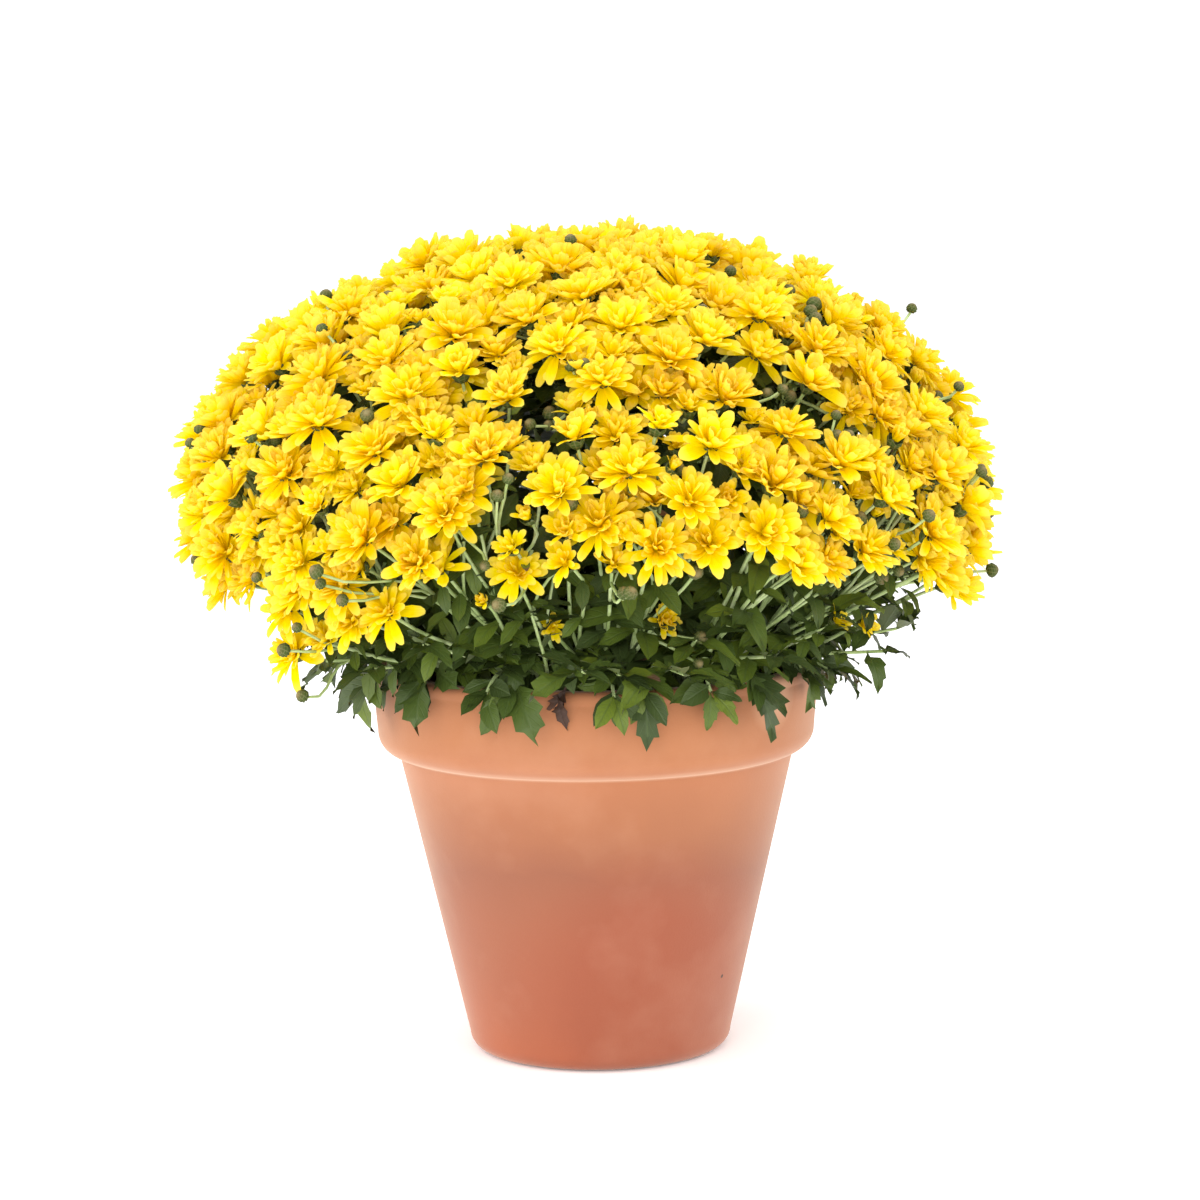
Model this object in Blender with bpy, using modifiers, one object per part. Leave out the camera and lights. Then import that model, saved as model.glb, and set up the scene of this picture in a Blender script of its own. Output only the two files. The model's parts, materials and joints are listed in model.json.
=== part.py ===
"""A garden chrysanthemum in flower, in a rimmed terracotta pot.

The pot is a turned shell with a drain hole, filled with soil. Out of the soil come the flowering sprays,
each in a hole of its own: a forked stem with leaves, bloom stalks and a bud, and on its stalks a bunch of
yellow blooms whose petals reach into each other. Each outer stem has a leafy side shoot over the rim.
Metres, +Z up, origin at the centre of the pot's foot. The photograph looks along +Y.
"""

import itertools
import math
import random

import bmesh
import bpy
from mathutils import Vector

# The pot
POT_HEIGHT = 0.223
RIM_RADIUS = 0.1275
RIM_BAND = 0.051
RIM_TAPER = 0.0033
WALL = 0.0105
BODY_TOP_RADIUS = 0.1118
BODY_FOOT_RADIUS = 0.0749
FOOT_ROUND = 0.010
FLOOR_THICKNESS = 0.012
DRAIN_RADIUS = 0.011
LIP_BEVEL = 0.003
BAND_CORNER = 0.0125
INNER_CORNER = 0.004
POT_SIDES = 32

# The soil
SOIL_TOP = 0.203
SOIL_CROWN = 0.003
SOIL_SHOULDER = 0.020
CLEARANCE = 0.0003
ROOT_DEPTH = 0.024
STEM_RISE = 0.007
HOLE_SIDES = 4

# The dome of blooms: a surface of revolution whose profile is a superellipse
DOME_RADIUS = 0.230
DOME_CROWN_Z = 0.469
DOME_WAIST_Z = 0.318
DOME_DROP = 0.150
DOME_POWER = 1.8
DOME_LAST_ANGLE = math.radians(110)
SIDE_SAG = 0.09
LEAN = -0.022

# The blooms
SLOTS = 224
BLOOM_RADIUS = 0.0222
OUTER_PETALS = 6
INNER_PETALS = 4
LINK_REACH = 0.28
LINK_DEPTH = 0.14
NOTCH_SHARE = 0.66
NOTCH_RISE = 0.04
INNER_SHARE = 0.50
PETAL_GAP = 0.0002
BORDER_SHARE = 0.55
CALYX_RADIUS = 0.0024
CALYX_GAP = 0.00045
BLOOM_BASE_DROP = 0.42
INNER_RISE = 0.34
HEART_RISE = 0.16

# The greenery
STEM_RADIUS = 0.0022
STEM_STEPS = 3
STALK_RADIUS = 0.0012
SIDE_SHOOT_RADIUS = 0.0017
FORK_DEPTH = 0.052
FORK_RADIUS = 0.0045
LEAF_LENGTH = 0.044
LEAF_WIDTH = 0.026
LEAF_THICKNESS = 0.0013
# One side of a leaf's outline from its tip to its stalk, as shares of (length, half width): lobe, notch, lobe
LEAF_LOBES = ((0.68, 0.86), (0.50, 0.50), (0.30, 0.92))
BUD_RADIUS = 0.0048
# A bud from its stalk to its tip, as (height along the axis, radius) in bud radii
BUD_PROFILE = ((-1.1, 0.25), (-0.5, 0.9), (0.3, 1.0), (0.95, 0.0))

# Each ring of sprays: how many, how far round it is turned, how far out its cells start and its stems leave the
# soil, the shares of a stem's height at which its large leaves grow, and the (share, half width, half length)
# of the dense heart of small leaves inside the bush, which the large ones stand out of
RINGS = (
    {
        "count": 3,
        "turn": 0.3,
        "cell_radius": 0.0,
        "soil_radius": 0.020,
        "leaves": (),
        "core": (0.62, 0.036, 0.060),
    },
    {
        "count": 8,
        "turn": 0.1,
        "cell_radius": 0.034,
        "soil_radius": 0.048,
        "leaves": (0.3, 0.7),
        "core": (0.42, 0.028, 0.052),
    },
    {
        "count": 13,
        "turn": 0.0,
        "cell_radius": 0.062,
        "soil_radius": 0.077,
        "leaves": (0.54, 0.70, 0.90),
        "core": None,
    },
)
SIDE_SHOOT_LEAVES = 3
CELL_GAP = 0.0003
SEED = 17

GOLDEN_ANGLE = math.pi * (3 - math.sqrt(5))

COLOURS = {
    "terracotta": ((0.55, 0.23, 0.115, 1), 0.85),
    "soil": ((0.035, 0.024, 0.016, 1), 0.95),
    "foliage": ((0.045, 0.115, 0.022, 1), 0.6),
    "petal": ((0.86, 0.60, 0.015, 1), 0.55),
}


def clear_scene():
    for obj in list(bpy.data.objects):
        bpy.data.objects.remove(obj, do_unlink=True)


def new_collection(name):
    found = bpy.data.collections.new(name)
    bpy.context.scene.collection.children.link(found)
    return found


def material(name):
    """The named finish as a Principled material, made once."""
    if name in bpy.data.materials:
        return bpy.data.materials[name]
    colour, roughness = COLOURS[name]
    made = bpy.data.materials.new(name)
    made.use_nodes = True
    shader = made.node_tree.nodes["Principled BSDF"]
    shader.inputs["Base Color"].default_value = colour
    shader.inputs["Roughness"].default_value = roughness
    shader.inputs["Metallic"].default_value = 0.0
    made.diffuse_color = colour
    return made


def add_object(name, mesh, finish, collection):
    obj = bpy.data.objects.new(name, mesh)
    mesh.materials.clear()
    mesh.materials.append(material(finish))
    collection.objects.link(obj)
    return obj


# Turned shapes


def turned(name, profile, sides, finish, collection, closed=False):
    """A profile of (radius, height) points, turned round the pot's axis. Its outer side runs down."""
    mesh = bpy.data.meshes.new(name)
    edges = [(i, i + 1) for i in range(len(profile) - 1)]
    if closed:
        edges.append((len(profile) - 1, 0))
    mesh.from_pydata([(r, 0, z) for r, z in profile], edges, [])
    obj = add_object(name, mesh, finish, collection)
    screw = obj.modifiers.new("turn", "SCREW")
    screw.steps = screw.render_steps = sides
    screw.use_merge_vertices = True
    screw.merge_threshold = 0.00005
    screw.use_smooth_shade = True
    return obj


def arc(centre, radius, start, end, points):
    """Points of an arc in the profile's plane, angles in degrees from +r, anticlockwise towards +z."""
    turns = [math.radians(start + (end - start) * i / (points - 1)) for i in range(points)]
    return [(centre[0] + radius * math.cos(a), centre[1] + radius * math.sin(a)) for a in turns]


def inner_wall():
    """The inside of the pot's wall, up from its floor: floor edge, wall foot, foot of the rim band, lip."""
    foot = BODY_FOOT_RADIUS - WALL
    return [
        (foot - INNER_CORNER, FLOOR_THICKNESS),
        (foot, FLOOR_THICKNESS + INNER_CORNER),
        (BODY_TOP_RADIUS - WALL, POT_HEIGHT - RIM_BAND),
        (RIM_RADIUS - WALL, POT_HEIGHT),
    ]


def make_pot(collection):
    band_foot = POT_HEIGHT - RIM_BAND
    band_corner = (RIM_RADIUS - RIM_TAPER - BAND_CORNER, band_foot + BAND_CORNER)
    foot_corner = (BODY_FOOT_RADIUS - FOOT_ROUND, FOOT_ROUND)
    floor_edge, wall_foot, wall_top, lip = inner_wall()
    profile = [
        lip,
        (RIM_RADIUS - LIP_BEVEL, POT_HEIGHT),
        (RIM_RADIUS, POT_HEIGHT - LIP_BEVEL),
        *arc(band_corner, BAND_CORNER, 0, -90, 4),
        (BODY_TOP_RADIUS, band_foot - LIP_BEVEL / 2),
        *arc(foot_corner, FOOT_ROUND, 0, -90, 3),
        (DRAIN_RADIUS, 0),
        (DRAIN_RADIUS, FLOOR_THICKNESS),
        floor_edge,
        wall_foot,
        wall_top,
    ]
    return turned("terracotta_pot", profile, POT_SIDES, "terracotta", collection, closed=True)


def make_soil(collection, holes):
    """The soil fills the pot's inside, clear of its wall, with a hole where each stem stands."""
    floor_edge, wall_foot, wall_top, lip = inner_wall()
    rise = (SOIL_TOP - wall_top[1]) / (lip[1] - wall_top[1])
    edge = wall_top[0] + (lip[0] - wall_top[0]) * rise
    gap = 2 * CLEARANCE
    profile = [
        (0, SOIL_TOP + SOIL_CROWN),
        (edge - SOIL_SHOULDER, SOIL_TOP + SOIL_CROWN * 0.6),
        (edge - gap, SOIL_TOP - CLEARANCE),
        (wall_top[0] - gap, wall_top[1]),
        (wall_foot[0] - gap, wall_foot[1] + CLEARANCE),
        (floor_edge[0] - gap, floor_edge[1] + CLEARANCE),
        (0, FLOOR_THICKNESS + CLEARANCE),
    ]
    soil = turned("soil", profile, POT_SIDES // 2, "soil", collection)
    cut = soil.modifiers.new("stem_holes", "BOOLEAN")
    cut.operand_type = "COLLECTION"
    cut.collection = holes
    cut.operation = "DIFFERENCE"
    cut.solver = "MANIFOLD"
    return soil


# The dome and the cells that the sprays share it out in


def dome_point(angle, azimuth, inset=0.0):
    """A point of the dome: angle is measured from the crown, and inset runs inwards from the surface."""
    power = 2 / DOME_POWER
    radius = (DOME_RADIUS - inset) * abs(math.sin(angle)) ** power
    above = math.cos(angle) >= 0
    half_height = (DOME_CROWN_Z - DOME_WAIST_Z if above else DOME_DROP) - inset
    lift = half_height * abs(math.cos(angle)) ** power
    z = DOME_WAIST_Z + (lift if above else -lift)
    return Vector((radius * math.cos(azimuth), radius * math.sin(azimuth), z))


def dome_normal(angle, azimuth):
    step = 0.01
    along = dome_point(angle + step, azimuth) - dome_point(max(angle - step, 0.001), azimuth)
    across = Vector((-math.sin(azimuth), math.cos(azimuth), 0))
    return along.cross(across).normalized()


def angles_by_area(count):
    """The angle from the crown at each of count equal shares of the dome's area."""
    steps = 400
    areas = [0.0]
    for i in range(steps):
        low = dome_point(DOME_LAST_ANGLE * i / steps, 0)
        high = dome_point(DOME_LAST_ANGLE * (i + 1) / steps, 0)
        areas.append(areas[-1] + (low.x + high.x) * (high - low).length)
    angles, at = [], 0
    for k in range(count):
        wanted = areas[-1] * (k + 0.5) / count
        while areas[at + 1] < wanted:
            at += 1
        share = (wanted - areas[at]) / (areas[at + 1] - areas[at])
        angles.append(DOME_LAST_ANGLE * (at + share) / steps)
    return angles


def ring_planes(count, low, high, turn):
    """The faces of the pyramid between two rings, as (outward normal, distance), one for each outer spray."""
    rise, run = high[1] - low[1], high[0] - low[0]
    slope = math.hypot(rise, run)
    planes = []
    for k in range(count):
        azimuth = turn + 2 * math.pi * k / count
        normal = Vector((math.cos(azimuth) * rise, math.sin(azimuth) * rise, -run)) / slope
        foot = Vector((low[0] * math.cos(azimuth), low[0] * math.sin(azimuth), low[1]))
        planes.append((normal, normal.dot(foot)))
    return planes


def side_planes(count, k, turn):
    """The two upright planes at the sides of spray k of a ring."""
    half = math.pi / count
    azimuth = turn + 2 * half * k
    left, right = azimuth + half, azimuth - half
    return [
        (Vector((-math.sin(left), math.cos(left), 0)), 0.0),
        (Vector((math.sin(right), -math.cos(right), 0)), 0.0),
    ]


def make_cells():
    """Convex cells round the axis, ring by ring: what stays in its own cell can't cross another spray."""
    counts = [ring["count"] for ring in RINGS]
    shares = angles_by_area(sum(counts))
    pyramids = []
    for i in range(1, len(RINGS)):
        edge = dome_point(shares[sum(counts[:i])], 0)
        shrink = (1 + math.cos(math.pi / counts[i])) / 2
        low = (RINGS[i]["cell_radius"], SOIL_TOP)
        pyramids.append(ring_planes(counts[i], low, (edge.x * shrink, edge.z), RINGS[i]["turn"]))
    cells = []
    for i, ring in enumerate(RINGS):
        for k in range(ring["count"]):
            planes = side_planes(ring["count"], k, ring["turn"])
            if i > 0:
                normal, distance = pyramids[i - 1][k]
                planes.append((-normal, -distance))
            if i < len(pyramids):
                planes += pyramids[i]
            azimuth = ring["turn"] + 2 * math.pi * k / ring["count"]
            cells.append({"ring": i, "k": k, "azimuth": azimuth, "planes": planes, "slots": []})
    return cells


def outside_by(cell, point):
    """How far the point lies outside the cell, negative inside."""
    return max(normal.dot(point) - distance for normal, distance in cell["planes"])


def keep_in(planes, point, margin=CELL_GAP):
    """The point, moved back until it lies inside every plane by the margin."""
    kept = point.copy()
    for _ in range(40):
        moved = False
        for normal, distance in planes:
            over = normal.dot(kept) - distance + margin
            if over > 1e-6:
                kept -= normal * (over + 1e-6)
                moved = True
        if not moved:
            break
    return kept


# Small shapes


def lean(verts):
    """Leans the plant as the photograph shows it, a little more with height."""
    for vert in verts:
        vert.co.x += LEAN * (vert.co.z - SOIL_TOP)


def finished(bm, name):
    """The closed mesh of the working one, in triangles that all face outwards."""
    bmesh.ops.recalc_face_normals(bm, faces=bm.faces)
    if bm.calc_volume(signed=True) < 0:
        bmesh.ops.reverse_faces(bm, faces=bm.faces)
    bmesh.ops.triangulate(bm, faces=bm.faces)
    mesh = bpy.data.meshes.new(name)
    bm.to_mesh(mesh)
    bm.free()
    return mesh


def basis(axis, turn=0.0):
    """Two unit vectors square to the axis and to each other, turned about it."""
    axis = axis.normalized()
    side = axis.cross(Vector((0, 0, 1)) if abs(axis.z) < 0.9 else Vector((1, 0, 0))).normalized()
    other = axis.cross(side)
    cos, sin = math.cos(turn), math.sin(turn)
    return side * cos + other * sin, other * cos - side * sin


def circle_point(centre, sides, radius, angle):
    return centre + (sides[0] * math.cos(angle) + sides[1] * math.sin(angle)) * radius


def loft(name, rings):
    """A closed solid through rings of (angle, point) pairs, which may differ in count. The ends are filled."""
    bm = bmesh.new()
    made = [[(angle, bm.verts.new(point)) for angle, point in ring] for ring in rings]
    for low, high in zip(made, made[1:]):
        stitch(bm, low, high)
    for end in (made[0], made[-1]):
        if len(end) > 2:
            bm.faces.new([vert for _, vert in end])
    return finished(bm, name)


def stitch(bm, low, high):
    """Triangles between two rings, stepping on the ring that lags behind in angle. Either may be a point."""
    i = j = 0
    low_steps = len(low) if len(low) > 1 else 0
    high_steps = len(high) if len(high) > 1 else 0
    while i < low_steps or j < high_steps:
        here_low, here_high = low[i % len(low)][1], high[j % len(high)][1]
        if j == high_steps or (i < low_steps and angle_after(low, i) <= angle_after(high, j)):
            i += 1
            bm.faces.new((here_low, low[i % len(low)][1], here_high))
        else:
            j += 1
            bm.faces.new((here_low, high[j % len(high)][1], here_high))


def angle_after(ring, index):
    """The angle of the ring's next point, counted on past a full turn."""
    following = index + 1
    return ring[following % len(ring)][0] + 2 * math.pi * (following // len(ring))


def fuse(name, meshes, finish, collection):
    """One body made of overlapping closed meshes, by a Boolean union on their collection."""
    scraps = new_collection(name + "_pieces")
    pieces = [add_object(f"{name}_piece_{i}", mesh, finish, scraps) for i, mesh in enumerate(meshes)]
    base, rest = pieces[0], pieces[1:]
    scraps.objects.unlink(base)
    collection.objects.link(base)
    union = base.modifiers.new("join", "BOOLEAN")
    union.operand_type = "COLLECTION"
    union.collection = scraps
    union.operation = "UNION"
    union.solver = "MANIFOLD"
    graph = bpy.context.evaluated_depsgraph_get()
    joined = bpy.data.meshes.new_from_object(base.evaluated_get(graph))
    for piece in [base, *rest]:
        bpy.data.objects.remove(piece, do_unlink=True)
    bpy.data.collections.remove(scraps)
    joined.name = name
    lean(joined.vertices)
    return add_object(name, joined, finish, collection)


# The parts of a spray


def place_blooms(cells):
    """Shares out evenly spaced places on the dome among the cells, and marks some as buds."""
    rng = random.Random(SEED)
    for i, angle in enumerate(angles_by_area(SLOTS)):
        azimuth = i * GOLDEN_ANGLE
        angle *= 1 + SIDE_SAG * math.cos(2 * azimuth) * (angle / DOME_LAST_ANGLE) ** 2
        point = dome_point(angle, azimuth)
        normal = dome_normal(angle, azimuth)
        cell = min(cells, key=lambda c: outside_by(c, point))
        point -= normal * rng.uniform(0.0, 0.008)
        radius = BLOOM_RADIUS * rng.uniform(0.90, 1.08)
        spin = rng.uniform(0, 2 * math.pi)
        cell["slots"].append({"point": point, "normal": normal, "radius": radius, "spin": spin})
    for cell in cells:
        slots = cell["slots"]
        middle = sum((s["point"] for s in slots), Vector()) / len(slots)
        cell["middle"] = middle
        for slot in slots:
            slot["point"] = keep_in(cell["planes"], slot["point"], BORDER_SHARE * slot["radius"])
        slots.sort(key=lambda s: (s["point"] - middle).length)
        cell["blooms"] = slots[:-1]
        cell["bud"] = slots[-1]


def set_axes(cell):
    """Each bloom faces out along the dome and a little up its stalk."""
    rng = random.Random(SEED + 100 * cell["ring"] + cell["k"])
    fork = cell["fork"]
    for slot in cell["blooms"] + [cell["bud"]]:
        along_stalk = (slot["point"] - fork).normalized()
        out = slot["normal"] * 0.6 + along_stalk * 0.5 + Vector((0, 0, 0.18))
        nudge = Vector([rng.uniform(-0.16, 0.16) for _ in range(3)])
        slot["axis"] = (out.normalized() + nudge).normalized()


def link_blooms(cell):
    """Joins each bloom but the first to the nearest one before it, by a petal that reaches in under its petals.
    A bloom's base lies a set share of its radius down its axis, or deeper if that petal points down."""
    for i, slot in enumerate(cell["blooms"]):
        drop = BLOOM_BASE_DROP * slot["radius"]
        slot["link"] = None
        if i > 0:
            parent = min(cell["blooms"][:i], key=lambda other: (other["point"] - slot["point"]).length)
            back = slot["point"] - parent["point"]
            back -= parent["axis"] * parent["axis"].dot(back)
            reach = back.normalized() * LINK_REACH - parent["axis"] * LINK_DEPTH
            slot["link"] = parent["point"] + reach * parent["radius"]
            drop = max(drop, (slot["point"] - slot["link"]).dot(slot["axis"]) + CLEARANCE)
        slot["base"] = slot["point"] - slot["axis"] * drop


def bloom_walls(slot, cell):
    """Planes that the bloom's petals stop short of: halfway to each near bloom, and clear of the bud."""
    walls = list(cell["planes"])
    for other in cell["blooms"] + [cell["bud"]]:
        way = other["point"] - slot["point"]
        if other is slot or way.length > 2.4 * BLOOM_RADIUS:
            continue
        reach = way.length - 1.5 * BUD_RADIUS if other is cell["bud"] else way.length / 2
        normal = way.normalized()
        walls.append((normal, normal.dot(slot["point"]) + reach))
    return walls


def bloom_mesh(walls, slot, rng):
    """A double bloom: a cone that spreads into a star of outer petals, with a ring of shorter ones on it."""
    radius, centre, axis, link = slot["radius"], slot["point"], slot["axis"], slot["link"]
    sides = basis(axis, slot["spin"])
    aim = 0.0
    if link:
        aim = math.atan2((link - centre).dot(sides[1]), (link - centre).dot(sides[0]))
    outer, step = [], 2 * math.pi / OUTER_PETALS
    for k in range(OUTER_PETALS):
        reach = radius * rng.uniform(0.94, 1.08)
        rise = radius * rng.uniform(-0.04, 0.14)
        tip = circle_point(centre, sides, reach, aim + step * k) + axis * rise
        tip = link if link and k == 0 else keep_in(walls, tip, PETAL_GAP)
        notch = circle_point(centre, sides, NOTCH_SHARE * radius, aim + step * (k + 0.5))
        notch = keep_in(walls, notch + axis * (NOTCH_RISE * radius), PETAL_GAP)
        outer += [(step * k, tip), (step * (k + 0.5), notch)]
    inner, step = [], 2 * math.pi / INNER_PETALS
    for k in range(INNER_PETALS):
        reach = INNER_SHARE * radius * rng.uniform(0.92, 1.08)
        tip = circle_point(centre, sides, reach, aim + step * (k + 0.5)) + axis * (INNER_RISE * radius)
        inner.append((step * (k + 0.5), keep_in(walls, tip, PETAL_GAP)))
    heart = centre + axis * (HEART_RISE * radius)
    return loft("bloom", [[(0, slot["base"])], outer, inner, [(0, heart)]])


def make_blooms(cell, name, collection):
    """The spray's blooms, joined petal to petal outwards from its middle."""
    rng = random.Random(SEED * 3 + 50 * cell["ring"] + cell["k"])
    meshes = []
    for slot in cell["blooms"]:
        meshes.append(bloom_mesh(bloom_walls(slot, cell), slot, rng))
    return fuse(name, meshes, "petal", collection)


def tube_mesh(name, points, radii):
    """A four-sided stem along the points, from a curve with filled caps."""
    curve = bpy.data.curves.new(name, "CURVE")
    curve.dimensions = "3D"
    curve.bevel_depth = 1.0
    curve.bevel_resolution = 0
    curve.use_fill_caps = True
    spline = curve.splines.new("POLY")
    spline.points.add(len(points) - 1)
    for target, point, radius in zip(spline.points, points, radii):
        target.co = (*point, 1)
        target.radius = radius
    helper = bpy.data.objects.new(name, curve)
    bpy.context.scene.collection.objects.link(helper)
    graph = bpy.context.evaluated_depsgraph_get()
    mesh = bpy.data.meshes.new_from_object(helper.evaluated_get(graph))
    bpy.data.objects.remove(helper, do_unlink=True)
    bpy.data.curves.remove(curve)
    bm = bmesh.new()
    bm.from_mesh(mesh)
    bpy.data.meshes.remove(mesh)
    bmesh.ops.remove_doubles(bm, verts=bm.verts, dist=0.00002)
    return finished(bm, name)


def turned_apart(directions, radii):
    """The directions, turned apart until a mouth of each radius fits round the fork beside the others."""
    ways = [direction.normalized() for direction in directions]
    for _ in range(80):
        for i, j in itertools.combinations(range(len(ways)), 2):
            least = 2 * math.atan(max(radii[i], radii[j]) / FORK_RADIUS) + math.radians(3)
            short = least - ways[i].angle(ways[j])
            if short > 0:
                push = (ways[i] - ways[j]).normalized() * (short / 2 + 0.001)
                ways[i] = (ways[i] + push).normalized()
                ways[j] = (ways[j] - push).normalized()
    return ways


def draw_out(bm, mouth, heading, stations):
    """Draws the face between three vertices out through stations of (centre, direction, radius).
    A radius of 0 closes the limb in a point."""
    for centre, direction, radius in stations:
        face = next(face for face in mouth[0].link_faces if set(face.verts) == set(mouth))
        made = bmesh.ops.extrude_discrete_faces(bm, faces=[face])["faces"][0]
        mouth = list(made.verts)
        middle = made.calc_center_median()
        turn = heading.rotation_difference(direction)
        for vert in mouth:
            arm = turn @ (vert.co - middle)
            vert.co = centre + arm.normalized() * radius
        heading = direction
        if radius == 0:
            bmesh.ops.pointmerge(bm, verts=mouth, merge_co=centre)


def skeleton_mesh(fork, limbs):
    """Stem and stalks in one piece: each is drawn out of a three-cornered mouth in a small faceted fork.
    A limb is (radius at its mouth, stations), and its first station gives the way it sets out."""
    radii = [radius for radius, _ in limbs]
    ways = turned_apart([stations[0][0] - fork for _, stations in limbs], radii)
    bm = bmesh.new()
    mouths = []
    for way, radius in zip(ways, radii):
        sides = basis(way)
        centre = fork + way * FORK_RADIUS
        corners = [circle_point(centre, sides, radius, 2 * math.pi * k / 3) for k in range(3)]
        mouths.append([bm.verts.new(corner) for corner in corners])
    bmesh.ops.convex_hull(bm, input=bm.verts)
    for mouth, way, (_, stations) in zip(mouths, ways, limbs):
        draw_out(bm, mouth, way, stations)
    return finished(bm, "skeleton")


def leaf_mesh(cell, root, way, size, rng, limit):
    """A lobed leaf, thickest along its midrib: a two-pole sphere of eight sides drawn out to the outline."""
    way = way.normalized()
    side = way.cross(Vector((0, 0, 1))).normalized()
    face = side.cross(way)
    length, half = LEAF_LENGTH * size, LEAF_WIDTH * size / 2
    left = [(along, -across) for along, across in reversed(LEAF_LOBES)]
    outline = [(1.0, 0.0), *LEAF_LOBES, (0.0, 0.0), *left]
    bm = bmesh.new()
    bmesh.ops.create_uvsphere(bm, u_segments=len(outline), v_segments=2, radius=1)
    rim = [v for v in bm.verts if abs(v.co.z) < 0.5]
    rim.sort(key=lambda v: math.atan2(v.co.y, v.co.x) % (2 * math.pi))
    poles = [v for v in bm.verts if abs(v.co.z) > 0.5]
    sag = rng.uniform(0.10, 0.28)
    for vert, (along, across) in zip(rim, outline):
        drop = sag * length * along**2
        vert.co = root + way * (along * length) + side * (across * half) - face * drop
    for pole in poles:
        lift = LEAF_THICKNESS / 2 * (1 if pole.co.z > 0 else -1)
        pole.co = root + way * (0.52 * length) + face * (lift - 0.0015 - sag * length * 0.52**2)
    margin = CELL_GAP + rng.uniform(0, 0.003)
    for vert in bm.verts:
        if (vert.co - root).length > 0.001:
            vert.co = keep_in(cell["planes"], limit(vert.co, margin), margin)
    return finished(bm, "leaf")


def bezier(points, share):
    """A point of the smooth curve that the control points pull at."""
    work = list(points)
    while len(work) > 1:
        work = [a.lerp(b, share) for a, b in zip(work, work[1:])]
    return work[0]


def stem_path(curve):
    """The buried straight end of a stem, and then its curve in straight steps."""
    path = [curve[0] - Vector((0, 0, STEM_RISE + ROOT_DEPTH))]
    path += [bezier(curve, i / STEM_STEPS) for i in range(STEM_STEPS + 1)]
    return path


def on_stem(path, share):
    """A point of the stem's part above the soil, at a share of its steps."""
    place = share * (len(path) - 2)
    step = min(int(place), len(path) - 3)
    return path[step + 1].lerp(path[step + 2], place - step)


def stem_stations(path, radius):
    """The stations of a stem drawn down from its fork to its buried end."""
    down = [path[i] - path[i + 1] for i in range(len(path) - 1)]
    stations = [(path[0], down[0].normalized(), radius)]
    for i in range(1, len(path) - 1):
        stations.append((path[i], (down[i - 1] + down[i]).normalized(), radius))
    return stations[::-1]


def above_rim(point, margin):
    """The point, lifted clear of the pot's rim where it lies lower."""
    kept = point.copy()
    kept.z = max(kept.z, POT_HEIGHT + 0.003 + margin)
    return kept


def beside_rim(point, margin):
    """The point, moved out clear of the pot's rim where it lies further in."""
    kept = point.copy()
    out = math.hypot(kept.x, kept.y)
    need = RIM_RADIUS + 0.005 + margin
    if out < need:
        kept.x *= need / out
        kept.y *= need / out
    return kept


def make_spray(cell, name, collection):
    """The green of a spray: a stem that forks into stalks, with leaves on it and a bud."""
    rng = random.Random(SEED * 7 + 31 * cell["ring"] + cell["k"])
    limbs = [(STEM_RADIUS, stem_stations(cell["path"], STEM_RADIUS))]
    for slot in cell["blooms"]:
        calyx = slot["base"] - slot["axis"] * CALYX_GAP
        limbs.append((STALK_RADIUS, [(calyx, slot["axis"], CALYX_RADIUS)]))
    bud, axis = cell["bud"]["point"], cell["bud"]["axis"]
    stations = [(bud + axis * (along * BUD_RADIUS), axis, wide * BUD_RADIUS) for along, wide in BUD_PROFILE]
    limbs.append((STALK_RADIUS, stations))
    meshes = [skeleton_mesh(cell["fork"], limbs)]
    ring = RINGS[cell["ring"]]
    outermost = ring is RINGS[-1]
    if ring["core"]:
        meshes.append(core_mesh(cell, *ring["core"]))
    for i, share in enumerate(ring["leaves"]):
        root = on_stem(cell["path"], share)
        turn = cell["azimuth"] + (1 if i % 2 else -1) * rng.uniform(0.15, 0.9)
        lift = rng.uniform(-0.8, 0.4) if outermost else rng.uniform(0.1, 0.7)
        out = Vector((math.cos(turn), math.sin(turn), lift))
        limit = above_rim if root.xy.length < RIM_RADIUS + 0.01 else beside_rim
        meshes.append(leaf_mesh(cell, root, out, rng.uniform(0.85, 1.2), rng, limit))
    if outermost:
        meshes += side_shoot_meshes(cell, rng)
    return fuse(name, meshes, "foliage", collection)


def core_mesh(cell, share, half_width, half_length):
    """The dense heart of a spray: a faceted egg along its stem, kept in its cell and clear of the soil."""
    centre = on_stem(cell["path"], share)
    axis = (cell["fork"] - cell["path"][1]).normalized()
    sides = basis(axis)
    bm = bmesh.new()
    bmesh.ops.create_icosphere(bm, subdivisions=1, radius=1)
    for vert in bm.verts:
        x, y, z = vert.co
        point = centre + (sides[0] * x + sides[1] * y) * half_width + axis * (z * half_length)
        point.z = max(point.z, SOIL_TOP + STEM_RISE)
        vert.co = keep_in(cell["planes"], point)
    return finished(bm, "core")


def side_shoot_meshes(cell, rng):
    """A side shoot that runs from low on the stem out over the rim, with leaves that hang from its end."""
    azimuth = cell["azimuth"] + rng.uniform(-0.08, 0.08)
    start = on_stem(cell["path"], 0.15)
    over = polar(RIM_RADIUS - 0.006, azimuth, POT_HEIGHT + 0.009)
    end = polar(RIM_RADIUS + 0.022, azimuth, POT_HEIGHT + 0.004)
    radii = [SIDE_SHOOT_RADIUS, SIDE_SHOOT_RADIUS * 0.9, SIDE_SHOOT_RADIUS * 0.7]
    meshes = [tube_mesh("side_shoot", [start, over, end], radii)]
    for i in range(SIDE_SHOOT_LEAVES):
        root = over.lerp(end, 0.55 + 0.4 * i / (SIDE_SHOOT_LEAVES - 1))
        turn = azimuth + (i - 1) * rng.uniform(0.6, 1.1)
        out = Vector((math.cos(turn), math.sin(turn), rng.uniform(-1.3, -0.3)))
        meshes.append(leaf_mesh(cell, root, out, rng.uniform(0.85, 1.15), rng, beside_rim))
    return meshes


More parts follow.
